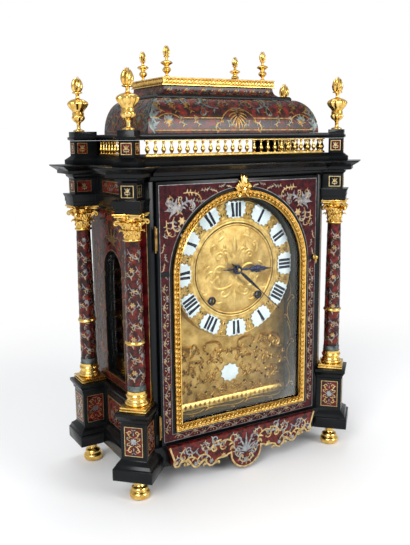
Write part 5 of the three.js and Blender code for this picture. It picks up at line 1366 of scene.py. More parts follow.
@dataclass
class Dome:
    """The cushion of shell, its black moulding, the hollow neck and the gilt border."""

    half: float = 136.5
    front: float = -53.5
    back: float = 89.5
    base: float = 482.8
    height: float = 46.0
    inset: float = 29.5
    board: tuple[float, float, float, float] = (80.0, 39.0, 41.0, 557.1)
    neck_profile: tuple[Point, ...] = ((40.5, 533.8), (44.2, 536.3), (46.8, 540.1), (48, 546.2))
    border_profile: tuple[Point, ...] = (
        (0.4, 546.5), (0.4, 546.5), (0.2, 547.6), (2.2, 548.2), (2.2, 548.2), (1.3, 551.6), (2.2, 555),
        (2.2, 555), (0.8, 555.6), (0.8, 556.6), (1.6, 557.1),
    )

    def cushion(self, steps: int = 24) -> list[Point]:
        """The curved face as insets and heights."""
        angles = [i / steps * math.pi / 2 for i in range(steps + 1)]
        return [(self.inset * (1 - math.cos(a)), self.base + self.height * math.sin(a)) for a in angles]

    def on_face(self, profile: Sequence[Point], facing: float) -> Placing:
        """Places flat work on one side of a profile: X along the side, Y up the curve."""
        way = math.radians(facing)
        out, along = Vector((math.cos(way), math.sin(way), 0)), Vector((-math.sin(way), math.cos(way), 0))
        centre = Vector((0, 0, 0)) if facing == -90 else Vector((0, (self.front + self.back) / 2, 0))
        reach = -self.front if facing == -90 else self.half
        half_face = self.half if facing == -90 else (self.back - self.front) / 2
        lengths = [0.0]
        for a, b in zip(profile, profile[1:]):
            lengths.append(lengths[-1] + math.dist(a, b))

        def place(point: Vector) -> Vector:
            far = min(max(point.y, 0.0), lengths[-1] - 0.001)
            i = max(k for k in range(len(profile) - 1) if lengths[k] <= far)
            share = (far - lengths[i]) / (lengths[i + 1] - lengths[i])
            (a, low), (b, high) = profile[i], profile[i + 1]
            run = math.dist(profile[i], profile[i + 1])
            rise, draw = (high - low) / run, (b - a) / run
            inset, z = a + (b - a) * share, low + (high - low) * share
            room = half_face - inset - 0.3
            across = min(max(point.x, -room), room)
            return (
                centre + along * across + out * (reach - inset + point.z * rise)
                + Vector((0, 0, z + point.z * draw))
            )

        return place

    def ornament(self, reach: float) -> list[Stroke]:
        """Strapwork with lambrequins, leafy scrolls above and a spray at the hip.

        Args:
            reach: Half the length of the face at its foot.

        Returns:
            The strokes, X along the face and Y up its curve.
        """
        half = [
            *many(BRASS, BAND, (26, 20, 0, reach - 72, 0, 0, 1.4), (reach - 46, 20, 40, 17, -40, 0, 1.5),
                  (reach - 16, 20, 140, 17, 40, 0, 1.5), (reach - 16, 20, 0, 8, 0, 0, 1.4), (0, 4, 0, reach - 10, 0, 0, 1.1),
                  (24, 22, 130, 30, 48, 0, 1.6)),
            *fan(TIN, reach - 31, 16, 90, 11, 3.4, 7, 180), *fan(BRASS, reach - 31, 17, -90, 9, 2.6, 5, 140),
            *branch(TIN, 28, 34, 0, 50, 50, 270, 2.4, 5, TIN), *branch(TIN, 62, 42, 200, 36, 50, 260, 2.0, 4, BRASS),
            *branch(BRASS, 6, 38, 52, 36, -80, -240, 1.8, 6, TIN), *branch(BRASS, 26, 15, -8, 26, -70, -230, 1.6, 6, TIN),
            *branch(TIN, 6, 12, -30, 20, 80, 230, 1.5, 5, BRASS), *branch(BRASS, 34, 52, 4, 24, -50, -230, 1.4, 6, TIN),
        ]
        for rise, long in ((7, 17), (20, 19), (33, 17), (45, 12)):
            edge = reach - self.inset * (1 - math.cos(math.asin(min(1, rise / 58)))) - 3
            half += fan(TIN, edge, rise, 150, long, 4.2, 5, 120)
        far = 62.0
        while far < reach - 22:
            half += branch(TIN, far, 40, 160, 36, -60, -250, 2.0, 5, TIN)
            half += branch(BRASS, far + 4, 50, 190, 26, -40, -230, 1.4, 5, TIN)
            half += branch(BRASS, far + 4, 28, 20, 28, 50, 240, 1.5, 5, BRASS)
            half += branch(TIN, far - 4, 11, 10, 22, 50, 230, 1.5, 5, BRASS)
            half += flower(BRASS, far + 14, 39, 4.6, 6)
            far += 22
        half += [
            *many(BRASS, SCROLL, (24, 21, -30, 12, -60, -250, 1.6)),
            *many(BRASS, LEAF, (1, 27, 8, 17, -64, 0, 1.9), (1, 25, -16, 18, -44, 0, 1.9), (1, 23, -40, 19, -28, 0, 1.9),
                  (0.6, 21, -64, 19, -14, 0, 1.8), (1, 29, 44, 12, -90, 0, 1.7)),
            *many(TIN, LEAF, (1, 31, 66, 9, -70, 0, 1.5)),
        ]
        return mirrored(half) + many(BRASS, LEAF, (0, 22, -90, 19, 0, 0, 2.0), (0, 27, 90, 9, 0, 0, 2.2))

    def build(self) -> None:
        """Make the dome and what lies on it."""
        plan = (self.half, self.front, self.back)
        piece("shell_cushion", stack(plan, self.cushion()), BROWN_SHELL, nodes=["dome"])
        rim, top = self.inset - 1.6, self.base + self.height
        moulding = stack(plan, [
            (self.inset + 0.2, top - 0.2), (rim + 0.6, top), (rim, top + 0.7), (rim, top + 2.3),
            (rim + 0.8, top + 3.3), (self.inset + 0.2, top + 4.7), (self.inset + 1.2, top + 5),
        ])
        piece("dome_black_moulding", moulding, EBONY)
        neck = flow(self.neck_profile)
        piece("dome_neck", stack(plan, neck), BROWN_SHELL)
        work = Marquetry("dome_inlay", shell=RUBBED_SHELL, tone=AGED)
        half_side = (self.back - self.front) / 2
        for facing, reach in ((-90, self.half), (0, half_side), (180, half_side)):
            work.inlay(self.on_face(self.cushion(), facing), self.ornament(reach))
            long = 2 * (reach - 48) - 4
            shift = 0 if facing == -90 else 22 * math.copysign(1, 90 - facing)
            vine = [s.moved(shift, 7.2) for s in rinceau(long if facing == -90 else 92, 10, 13)]
            work.inlay(self.on_face(neck, facing), vine)
        board = by_matrix(at(0, self.board[2], self.board[3]))
        work.sheet(board, rectangle(self.board[0], self.board[1]))
        for inset in (1.2, 9.0):
            work.line(board, rectangle(self.board[0] - inset, self.board[1] - inset), 0.9)
        quarter = [*branch(BRASS, 3, 4, 24, 62, 50, 240, 2.2, 8, TIN), *branch(TIN, 22, 2, -8, 44, 70, 240, 1.8, 6, BRASS),
                   *flower(BRASS, 56, 10, 5, 8)]
        work.inlay(board, mirrored(mirrored(quarter), up_down=True) + flower(TIN, 0, 0, 9, 8))
        work.finish()
        self.border()

    def border(self) -> None:
        """The gilt border: a fat round moulding with a twisted leaf about it."""
        shape = stack((92.0, -9.0, 92.0), flow(self.border_profile, 2))
        twist = bmesh.new()
        for x, long, wide, thick in ((0, 9.4, 3.9, 1.35), (2.75, 6.4, 1.5, 1.0)):
            bmesh.ops.create_icosphere(twist, subdivisions=2, radius=1, matrix=(
                Matrix.Translation((x, 0, 0)) @ Matrix.Rotation(math.radians(38), 4, "Z")
                @ Matrix.Diagonal((long / 2, wide / 2, thick, 1))
            ))
        placings = []
        for facing, reach, length, middle in ((-90, 7.4, 176, 0), (0, 90.4, 94, 41), (180, 90.4, 94, 41)):
            count = round(length / 5.5)
            for i in range(count):
                along = (i + 0.5) / count * length - length / 2
                x, y = (along, -reach) if facing == -90 else (math.copysign(reach, 90 - facing), middle + along)
                placings.append(by_matrix(face_frame(x, y, 551.6, facing)))
        absorb(shape, copies(twist, placings), same)
        piece("gilt_dome_border", shape, GILT, nodes=["dome_border"])


@dataclass
class Finials:
    """Four large urns with flames on the gallery, and four small ones on the dome."""

    large_z: float = 487.3
    small_z: float = 557.4
    large: tuple[Point, ...] = (
        (0, 0), (0, 0), (7.7, 0), (7.7, 0), (7.7, 1.4), (6.2, 2.2), (3, 3.6), (2.6, 6), (2.6, 9.5), (3.6, 12),
        (3.6, 12), (7.2, 14.4), (9.5, 18), (8.7, 20.6), (7.7, 21.4), (7.7, 21.4), (8.2, 22), (8.2, 25.2),
        (8.2, 25.2), (7.5, 26), (8.2, 27), (8.2, 27), (9.4, 29), (12.2, 32.2), (14.2, 35.6), (14.5, 38),
        (12.6, 40.6), (8.4, 43), (8.4, 43), (3.6, 44.4), (2.5, 46), (2.4, 48.6), (3, 50.6), (3, 50.6),
        (6.8, 51.6), (7, 52.6), (6.4, 53.2), (4.4, 53.8), (4.4, 53.8), (4.6, 57), (4.2, 62), (3, 67), (1.4, 71),
        (0, 72),
    )
    large_flame: tuple[tuple[float, ...], ...] = (
        (4.2, 53.6, 3.6), (6.0, 56.5, 4.8), (6.9, 60.5, 5.0), (6.6, 64.5, 4.2), (5.6, 68, 2.8), (4.6, 71, 0.5),
    )
    large_heart: tuple[tuple[float, ...], ...] = (
        (3.4, 57, 3.4), (4.4, 62, 4.4), (3.8, 67, 3.8), (2.8, 71, 2.4), (2.2, 74, 0.4),
    )
    small: tuple[Point, ...] = (
        (0, 0), (0, 0), (3.9, 0), (3.9, 0), (3.7, 1.4), (1.8, 2.8), (1.7, 4.6), (3.8, 6.4), (6, 9), (5.6, 11.4),
        (3.2, 13.4), (3.2, 13.4), (3, 14.6), (4.6, 16), (7.8, 18), (8, 19.2), (6, 20.8), (2.4, 22), (1.8, 24),
        (2.4, 26), (2.4, 26), (4, 26.6), (4, 27.2), (2.6, 27.8), (2.6, 27.8), (2.9, 32), (2.4, 36), (1, 40), (0, 40.6),
    )
    small_flame: tuple[tuple[float, ...], ...] = (
        (2.5, 27.6, 2.4), (4.1, 30.5, 3.4), (4.2, 33.5, 3.0), (3.2, 37.2, 1.9), (2.0, 41.2, 0.3),
    )

    def flame(self, shape: bmesh.types.BMesh, path: Sequence[Sequence[float]], count: int, start: float) -> None:
        """Set tongues of flame round the axis.

        Args:
            shape: The finial that gets them.
            path: Radius, height and width at each step of a tongue.
            count: How many tongues.
            start: The first one's angle in degrees.
        """
        section = [(-0.5, -0.3), (0.5, -0.3), (0.34, 0.2), (0, 0.55), (-0.34, 0.2)]
        frames = []
        for i, (radius, z, width) in enumerate(path):
            before, after = path[max(0, i - 1)], path[min(len(path) - 1, i + 1)]
            lean = math.atan2(after[0] - before[0], after[1] - before[1])
            sway = math.radians(7 * i)
            frames.append(
                Matrix.Rotation(sway, 4, "Z") @ Matrix.Translation((radius, 0, z))
                @ Matrix.Rotation(lean, 4, "Y") @ Matrix((
                    (0, 0, 0.5 * width, 0), (0, width, 0, 0), (1, 0, 0, 0), (0, 0, 0, 1),
                ))
            )
        tongue = bmesh.new()
        sweep(tongue, section, frames)
        absorb(shape, copies(tongue, [
            by_matrix(Matrix.Rotation(math.radians(start + 360 * i / count), 4, "Z")) for i in range(count)
        ]), same)

    def build(self) -> None:
        """Make eight finials."""
        for corner in CORNERS:
            urn = lathe(flow(self.large, 3), 60)
            flute(urn, 12, 21.4, 10, 0.16)
            flute(urn, 27.4, 43, 12, 0.14)
            self.flame(urn, self.large_flame, 8, 0)
            self.flame(urn, self.large_heart, 5, 30)
            cup = lathe(flow(self.small, 3), 40)
            flute(cup, 5, 13.4, 8, 0.14)
            self.flame(cup, self.small_flame, 6, 0)
            x, y = math.copysign(78.3, corner.x), 4.7 if corner.y < 0 else 78.3
            for kind, shape, place in (
                ("large", urn, at(corner.x, corner.y, self.large_z, corner.turn)), ("small", cup, at(x, y, self.small_z)),
            ):
                whole = bmesh.new()
                absorb(whole, shape, by_matrix(place))
                node = f"{kind}_finial_{corner.name}"
                piece(f"flame_{node}", whole, GILT, nodes=[node], crease=40)


@dataclass
class Door:
    """The glazed door: marquetry frame, gilt bezel and crest, hinges and catch."""

    face_y: float = -61.5
    arch_z: float = 296.7
    glazed_half: float = 100.0
    glazed_bottom: float = 91.0
    inner: float = 114.6
    inner_bottom: float = 78.5
    middle_z: float = 243.3
    stile_x: float = 121.3
    crest_z: float = 406.9
    catch: tuple[float, float, float] = (126.5, -61.6, 302.1)

    def spandrel(self) -> list[Stroke]:
        """The right-hand corner ornament, about the arch's centre."""
        made = [
            *branch(TIN, 101, 84, 114, 44, 60, 190, 2.5, 8, TIN), *branch(TIN, 104, 82, 160, 26, -60, -240, 2.0, 6, BRASS),
            *branch(BRASS, 106, 80, -66, 32, -50, -220, 2.1, 7, TIN), *fan(TIN, 103, 86, 50, 22, 4.0, 5, 130),
            *branch(TIN, 104, 90, 76, 26, -50, -200, 1.8, 7, TIN), *branch(TIN, 106, 86, 22, 22, 50, 200, 1.8, 6, TIN),
            *branch(BRASS, 110, 94, 50, 18, 30, 200, 1.4, 5, BRASS), *branch(BRASS, 92, 110, 176, 34, 8, 110, 1.5, 8, BRASS),
            *branch(BRASS, 118, 76, -94, 30, 10, -150, 1.5, 7, BRASS), *branch(TIN, 86, 100, 206, 22, 40, 230, 1.5, 5, BRASS),
            *branch(TIN, 120, 60, -60, 12, -80, -220, 1.2, 4, BRASS), *flower(BRASS, 95, 74, 6, 6),
            *branch(TIN, 92, 62, 250, 16, 70, 220, 1.3, 4, BRASS), *branch(BRASS, 98, 96, 60, 16, 60, 220, 1.3, 4, TIN),
        ]
        sprigs = (
            (66, 112, 186, 9), (52, 113.4, 182, 8), (38, 115.6, 180, 6.5), (26, 117, 178, 5.5), (74, 99, 200, 8),
            (121.5, 46, -90, 8), (121.5, 33, -90, 7.5), (121.5, 20, -90, 7), (121.5, 8, -90, 6),
        )
        for i, (x, y, heading, long) in enumerate(sprigs):
            metal, other = (BRASS, TIN) if i % 2 else (TIN, BRASS)
            side = 1 if i % 2 else -1
            made += branch(metal, x, y, heading + side * 24, long * 1.7, -side * 60, side * 120, 1.2, 5, other)
        return made

    def frame_work(self) -> None:
        """The black frame and the shell, strings and scrolls on its face."""
        shape = eased(node_copy("door_frame"), 0.4)
        piece("polished_door_frame", shape, EBONY, "door", ["door_frame"])
        work = Marquetry("door_inlay", "door", DARK_SHELL, DULL)
        place = by_matrix(face_frame(0, self.face_y, 0, -90))
        hole = arched(self.inner, self.inner_bottom, self.arch_z, 56)
        work.sheet(place, rectangle(128.2, 175, 0, self.middle_z), [hole])
        work.line(place, rectangle(127.8, 174.6, 0, self.middle_z), 0.7, metal=TIN)
        work.line(place, arched(self.inner + 0.4, self.inner_bottom - 0.4, self.arch_z, 56), 0.7, metal=TIN)
        work.inlay(by_matrix(face_frame(0, self.face_y, self.arch_z, -90)), mirrored(self.spandrel()))
        for side in (-1, 1):
            stile = face_frame(side * self.stile_x, self.face_y, 184.5, -90)
            work.inlay(by_matrix(stile @ Matrix.Rotation(math.pi / 2, 4, "Z")), rinceau(208, 8.6, 12))
        work.inlay(by_matrix(face_frame(0, self.face_y, 73.4, -90)), rinceau(224, 6.4, 13))
        work.finish()
        breaks = bmesh.new()
        for side in (-1, 1):
            plate = filled(rectangle(6.4, 3.2), (), 0.0, 0.5)
            absorb(breaks, plate, by_matrix(face_frame(side * self.stile_x, self.face_y, 302.3, -90)))
        piece("door_stile_breaks", breaks, EBONY, "door")

    def bezel(self) -> None:
        """The moulding with its running leaf, and the crest."""
        shape = bmesh.new()
        path = arched(self.glazed_half + 5.25, self.glazed_bottom - 5.25, self.arch_z, 72)
        section = [
            (-5.2, 0), (5.2, 0), (5.2, 1.4), (4.6, 2.6), (3.6, 1.9), (3.2, 1.2), (-3.2, 1.2), (-3.6, 1.9),
            (-4.6, 2.6), (-5.2, 1.4),
        ]
        sweep(shape, section, stations(path, closed=True))
        unit = chased(many(
            BRASS, LEAF, (-3.2, -2.3, 34, 7.6, 22, 0, 3.0), (-0.6, 2.4, -34, 5.2, -26, 0, 2.0), (-3, 2.9, -8, 3.4, 0, 0, 1.5),
        ), 1.05)
        bmesh.ops.create_icosphere(unit, subdivisions=2, radius=1.3, matrix=Matrix.Translation((2.7, 1.2, 0.6)))
        absorb(shape, copies(unit, [by_matrix(m) for m in spaced(path, 6.8, 1.3)]), same)
        crest = chased(mirrored([
            *many(BRASS, SCROLL, (1, 0, 10, 20, 60, 260, 3.2), (3, 3, 60, 15, -70, -230, 2.8), (2, 10, 50, 10, 70, 220, 2)),
            *many(BRASS, LEAF, (0, 5, 62, 15, 20, 0, 4.6), (0, 4, 34, 13, 30, 0, 4.2), (0, 6, 78, 16, -10, 0, 3.6),
                  (2, 0, 0, 14, 40, 0, 4.0), (2, -4, -30, 10, -30, 0, 3.2)),
        ]), 0.6)
        for leaf in many(BRASS, LEAF, (0, 1, 90, 19.6, 0, 0, 5.6), (0, -6, 90, 14, 0, 0, 9), (0, 2, -90, 9, 0, 0, 4)):
            leaf.draw(crest, CHASED_SECTION, 1.0, 0.6)
        absorb(shape, crest, by_matrix(Matrix.Translation((0, self.crest_z, 3.0))))
        whole = bmesh.new()
        absorb(whole, shape, by_matrix(face_frame(0, self.face_y - 0.3, 0, -90)))
        piece("gilt_bezel_and_crest", whole, NOTCH_SHADED_GILT, "door", ["door_bezel"], crease=36)

    def hinge(self, node: str, middle: float) -> None:
        """A slim turned pin between two knuckles, with its leaf let into the door's edge."""
        pin = lathe(flow([
            (0, -17.5), (0, -17.5), (0.7, -17.2), (1.1, -16.4), (0.6, -15.4), (0.6, -15.4), (1.1, -15), (1.1, -15),
            (1.1, -0.4), (1.1, -0.4), (0.8, -0.2), (0.8, 0.2), (1.1, 0.4), (1.1, 0.4), (1.1, 15), (1.1, 15),
            (0.6, 15.4), (0.6, 15.4), (1.1, 16.4), (0.7, 17.2), (0, 17.5),
        ], 2), 20)
        whole = bmesh.new()
        absorb(whole, pin, by_matrix(at(-134.4, -62.6, middle)))
        leaf = eased(filled(rectangle(1.5, 0.6), (), -14.6, 14.6), 0.2)
        absorb(whole, leaf, by_matrix(at(-133.2, -61.8, middle)))
        piece(f"turned_{node}", whole, AGED_BRASS, body_of(node), [node])

    def build(self) -> None:
        """Make the door."""
        self.frame_work()
        self.bezel()
        self.hinge("door_hinge_upper", 349.0)
        self.hinge("door_hinge_lower", 92.0)
        catch = lathe(flow([
            (0, -1), (0, -1), (2.2, -1), (2.2, -1), (3.5, 1), (3.5, 2.6), (1.7, 4), (2.4, 5.4), (2.1, 6.6), (0, 7),
        ], 3), 24)
        tail = chased([Stroke(BRASS, LEAF, 0, -1, -90, 8.4, 0, 0, 4)], 0.5)
        absorb(catch, tail, by_matrix(Matrix.Translation((0, 0, 4.2))))
        whole = bmesh.new()
        absorb(whole, catch, by_matrix(face_frame(*self.catch, -90)))
        piece("turned_door_catch", whole, CLOCK_BRASS, "catch", ["door_catch"])


@dataclass
class Apron:
    """The shaped apron with its brass edge, central palmette and scrolls."""

    top: float = 63.2
    front: float = -70.5
    half: float = 126.0
    drop: float = 59.0
    lobe: float = 27.3
    lobe_y: float = -31.7
    edge: tuple[Point, ...] = (
        (1, 1), (0.972, 0.82), (0.948, 0.67), (0.956, 0.58), (0.94, 0.5), (0.909, 0.463), (0.869, 0.488),
        (0.849, 0.564), (0.806, 0.573), (0.758, 0.539), (0.734, 0.454), (0.702, 0.37), (0.663, 0.336),
        (0.619, 0.361), (0.591, 0.437), (0.56, 0.463), (0.536, 0.378), (0.504, 0.302), (0.464, 0.271),
        (0.421, 0.31), (0.397, 0.386), (0.365, 0.412), (0.262, 0.412), (0.242, 0.45),
    )

    def build(self) -> None:
        """Make the apron."""
        shape = eased(node_copy("apron"), 0.35, 40)
        piece("shell_apron", shape, SHELL, nodes=["apron"])
        work = Marquetry("apron_inlay")
        place = by_matrix(face_frame(0, self.front, self.top, -90))
        right = [(x * self.half, (y - 1) * self.drop) for x, y in self.edge]
        line = [*right, *arc(self.lobe, 0, -90, 12, 0, self.lobe_y)]
        line += [(-x, y) for x, y in reversed(line[:-1])]
        edge = bmesh.new()
        sweep(edge, [(-3.1, 0.05), (-0.5, 0.05), (-0.5, 0.4), (-3.1, 0.4)], stations(line))
        absorb(work.metals[BRASS], edge, place)
        half = [
            *many(BRASS, SCROLL, (119, -22, 250, 12, -110, -240, 2.4), (108, -25.5, 100, 11, 110, 220, 2.2),
                  (96, -30, 60, 13, -110, -230, 2.4), (73, -32, 110, 12, 110, 220, 2.3),
                  (66, -38, 60, 12, -110, -230, 2.2), (52, -40, 120, 12, 110, 220, 2.2), (27, -26, 90, 13, 110, 240, 2.8)),
            *branch(TIN, 4, -36, 16, 54, 90, 260, 2.3, 5, TIN), *branch(TIN, 6, -41, 0, 34, 110, 240, 1.9, 4, BRASS),
            *branch(BRASS, 20, -20, 68, 46, -120, -190, 2.4, 5, BRASS), *branch(TIN, 34, -8, -34, 44, 80, 280, 2.2, 5, TIN),
            *branch(BRASS, 42, -6, 0, 36, -70, -260, 2.2, 5, BRASS), *branch(TIN, 54, -8, -60, 40, 110, 260, 2.1, 5, BRASS),
            *branch(BRASS, 60, -30, 62, 44, -140, -220, 2.3, 6, TIN), *branch(TIN, 80, -10, -50, 38, 110, 250, 2.1, 5, TIN),
            *branch(BRASS, 82, -26, 50, 36, -120, -240, 2.1, 5, BRASS), *branch(BRASS, 100, -6, -30, 28, -60, -240, 1.8, 5, TIN),
            *branch(TIN, 104, -20, 40, 26, -110, -240, 1.8, 4, BRASS), *branch(BRASS, 26, -4, 170, 20, 50, 220, 1.5, 5, TIN),
            *branch(TIN, 72, -4, 180, 18, 50, 220, 1.4, 4, BRASS), *branch(BRASS, 2, -50, 10, 24, 80, 240, 1.9, 5, TIN),
            *flower(BRASS, 39, -31, 4.4, 8), *flower(TIN, 59, -34, 4.2, 6), *flower(TIN, 84, -32, 4.0, 6),
        ]
        middle = [
            *fan(TIN, 0, -35, 90, 30, 3.7, 7, 110), *fan(BRASS, 0, -45, -90, 10, 2.6, 5, 200), *flower(TIN, 0, -47, 5, 8),
        ]
        work.inlay(place, mirrored(half) + middle)
        work.finish()


@dataclass
class Dial:
    """The lining, the gilt plate, the chapter ring with its plaques, and the small plaque."""

    centre_z: float = 294.0
    plate_y: float = -25.5
    disc_front: float = -41.0
    ring_face: float = 42.3
    plaque_face: float = 42.8
    plaque_z: float = 136.5
    winding: tuple[float, float] = (39.0, 252.1)
    floor_z: float = 91.45
    wall_x: float = 99.55
    numerals: tuple[str, ...] = (
        "XII", "I", "II", "III", "IIII", "V", "VI", "VII", "VIII", "IX", "X", "XI",
    )
    bars: tuple[float, float, float, float] = (74.6, 94.6, 3.9, 1.0)
    plaque: tuple[Point, ...] = (
        (0, 10.7), (4.3, 12.5), (7.2, 10.9), (12.3, 12.7), (13.6, 9.8), (17.2, 9.1), (15.2, 5.1), (17.2, 1.6),
        (14.4, -1.5), (16.1, -6), (12.3, -6.9), (12.1, -11), (7.8, -10), (4.5, -12.6), (1.8, -10.6), (0, -12),
    )

    def lining(self) -> None:
        """The grey lining of the opening, with slim waved scrolls along its floor and walls."""
        piece("polished_lining", node_copy("dial_reveal"), LINING, nodes=["dial_reveal"])
        waves = bmesh.new()
        runs = (
            (Vector((0, -37.5, self.floor_z)), 0, 170), (Vector((self.wall_x, -37.5, 182.5)), -90, 170),
            (Vector((-self.wall_x, -37.5, 182.5)), 90, 170),
        )
        for middle, turn, length in runs:
            strip = bmesh.new()
            bays = round(length / 34)
            for bay in range(bays):
                side = 1 if bay % 2 else -1
                x = -length / 2 + bay * length / bays
                for row in (
                    (x, side * -4, side * 46, length / bays * 1.2, -side * 92, 0, 2.2),
                    (x + 7, side * 2, side * 30, 18, side * 90, side * 200, 1.6),
                ):
                    Stroke(BRASS, SCROLL, *row).draw(strip, [(-0.5, -0.1), (0.5, -0.1), (0.5, 0.12), (-0.5, 0.12)], 1.0, 0.0)
            absorb(waves, strip, by_matrix(Matrix.Translation(middle) @ Matrix.Rotation(math.radians(turn), 4, "Y")))
        piece("lining_waved_scrolls", waves, INLAY_BRASS)

    def centre(self) -> bmesh.types.BMesh:
        """The soft low scrolls of the dial's centre and the rim round them."""
        disc = chased(mirrored([
            *many(BRASS, SCROLL, (2, -14, 62, 64, -60, -300, 6.5), (14, 4, 100, 48, -90, -300, 5.5),
                  (4, 12, 84, 40, -60, -280, 5), (4, -22, -30, 56, 60, 260, 5.6), (6, -28, -70, 34, 70, 280, 4.6),
                  (48, -10, 110, 26, 60, 280, 4), (36, 22, 60, 26, 60, 260, 4), (20, 44, 40, 20, 60, 240, 3.6),
                  (22, -46, -20, 24, 70, 250, 3.8), (44, -30, -40, 18, 60, 240, 3.2)),
            *many(BRASS, LEAF, (12, -8, 120, 18, 40, 0, 6), (28, 40, 130, 16, 40, 0, 5.4), (22, -6, 20, 16, 40, 0, 5),
                  (40, 8, -20, 14, -40, 0, 5), (30, -20, 10, 14, 50, 0, 5), (14, 26, 60, 16, 40, 0, 5)),
        ]) + many(BRASS, LEAF, (0, 20, 90, 30, 0, 0, 10), (0, -30, -90, 22, 0, 0, 8)), 0.13)
        absorb(disc, lathe(flow([
            (61.8, 0), (61.8, 0), (62.6, 1.5), (64.2, 2.0), (65, 1), (65, 1), (65, 0), (65, 0), (61.8, 0),
        ], 2), 96), same)
        return disc

    def lower(self) -> bmesh.types.BMesh:
        """The lower plate: a moulded ledge, large volutes and fine leafy scrolls all over."""
        shape = bmesh.new()
        sweep(shape, [(-6, 0), (5.6, 0), (5.6, 1.6), (4.2, 3.2), (-6, 3.2)], stations([(-98.6, 97.6), (98.6, 97.6)]))
        fine = [
            *many(BRASS, SCROLL, (62, 184, 10, 56, -70, -290, 5.4), (94, 172, 120, 44, 60, 280, 4.6), (40, 186, 170, 44, 30, 260, 4.2),
                  (4, 168, 30, 30, -60, -260, 3.2), (66, 168, 150, 34, -40, -260, 3.4)),
            *many(BRASS, LEAF, (-46, 94, 90, 11, 0, 0, 3.4), (52, 94, 90, 11, 0, 0, 3.4), (18, 94, 90, 11, 0, 0, 3.4)),
        ]
        fine += many(BRASS, LEAF, *[(x, 92.3, 90, 11, 0, 0, 6.6) for x in range(4, 98, 8)])
        for row in range(8):
            for column in range(7):
                x, y = 6 + column * 13 + 6 * (row % 2), 107 + row * 9.4
                if x < 92:
                    size = 17 + (row * 7 + column * 5) % 7
                    side = 1 if (row + column) % 2 else -1
                    fine += branch(BRASS, x, y, 40 + 137.5 * (row + column * 3), size, side * 60, side * 250, 2.1, 4)
        absorb(shape, chased(mirrored(fine), 0.85), by_matrix(Matrix.Translation((0, 0, 0.1))))
        return shape

    def plate(self) -> None:
        """The plate, the ornament on it, and dark strokes of painted shade where its small piercings would be."""
        piece("matt_dial_plate", eased(node_copy("dial_plate"), 0.3, 50), MATT_GILT, nodes=["dial_plate"])
        relief = bmesh.new()
        absorb(relief, self.centre(), by_matrix(face_frame(0, self.disc_front, self.centre_z, -90)))
        absorb(relief, self.lower(), by_matrix(face_frame(0, self.plate_y, 0, -90)))
        piece("chased_dial_ornament", relief, GILT_RELIEF, crease=50)
        # Painted shade: dark leaf strokes laid on the plate and between the ring's plaques stand in for the shadowed
        # piercings.
        holes = bmesh.new()
        for i, (x, y) in enumerate((
            (45, 150), (58, 158), (64, 140), (46, 132), (56, 124), (64, 116), (42, 112), (50, 168), (36, 172), (24, 118),
            (22, 154), (68, 128), (30, 106), (72, 150),
        )):
            for leaf in mirrored([Stroke(BRASS, LEAF, x, y, 30 + i * 77, 4.4, 50, 0, 1.8)]):
                leaf.draw(holes, [(-0.5, 0.2), (0.5, 0.2), (0.5, 1.35), (-0.5, 1.35)], 1.0, 0.0)
        whole = bmesh.new()
        absorb(whole, holes, by_matrix(face_frame(0, self.plate_y, 0, -90)))
        ring_piercing_shade = bmesh.new()
        for leaf in mirrored(many(
            BRASS, LEAF, (1.7, 78, 70, 4.6, 40, 0, 1.7), (2.4, 90.4, -60, 4.4, 50, 0, 1.6), (6.2, 92.6, 10, 4, -40, 0, 1.5),
        )):
            leaf.draw(ring_piercing_shade, [(-0.5, 0), (0.5, 0), (0.5, 0.35), (-0.5, 0.35)], 1.0, 0.0)
        round_ring = copies(ring_piercing_shade, [by_matrix(
            Matrix.Rotation(math.radians(30 * i + 15), 4, "Z") @ Matrix.Translation((0, 0, self.ring_face - 0.1)),
        ) for i in range(12)])
        absorb(whole, round_ring, by_matrix(face_frame(0, 0, self.centre_z, -90)))
        piece("painted_shade_piercings", whole, PIERCING_SHADE)

    def ring(self) -> None:
        """The cast ring and the scrolls between its plaques."""
        shape = lathe(flow([
            (65.4, 25.8), (65.4, 25.8), (65.4, 41), (65.4, 41), (66.2, 42.9), (68.2, 43.2), (69.8, 42), (69.8, 42),
            (71, 42.3), (95.6, 42.3), (95.6, 42.3), (96.8, 43.1), (98.2, 42.2), (98.4, 39), (98.4, 39),
            (98.4, 25.8), (98.4, 25.8), (65.4, 25.8),
        ], 2), 120)
        scrolls = chased(mirrored([
            *many(BRASS, SCROLL, (0.6, 94.8, 10, 13, -130, -200, 2.2), (0.6, 73.4, -10, 12, 130, 200, 2.2),
                  (1, 84, 60, 11, -60, -240, 2.2), (1, 84, -60, 11, 60, 240, 2.2), (5, 94, -30, 9, -60, -200, 1.6)),
            *many(BRASS, LEAF, (7, 95.6, -14, 8, -14, 0, 2.0), (4, 73, 8, 8, -14, 0, 1.8)),
        ]) + many(BRASS, LEAF, (0, 76, 90, 15, 0, 0, 3.6), (0, 89, 90, 8, 0, 0, 3.8)), 0.5)
        absorb(shape, copies(scrolls, [by_matrix(
            Matrix.Rotation(math.radians(30 * i + 15), 4, "Z") @ Matrix.Translation((0, 0, self.ring_face)),
        ) for i in range(12)]), same)
        whole = bmesh.new()
        absorb(whole, shape, by_matrix(face_frame(0, 0, self.centre_z, -90)))
        piece("gilt_chapter_ring", whole, GILT_RELIEF, nodes=["dial_ring"], crease=40)

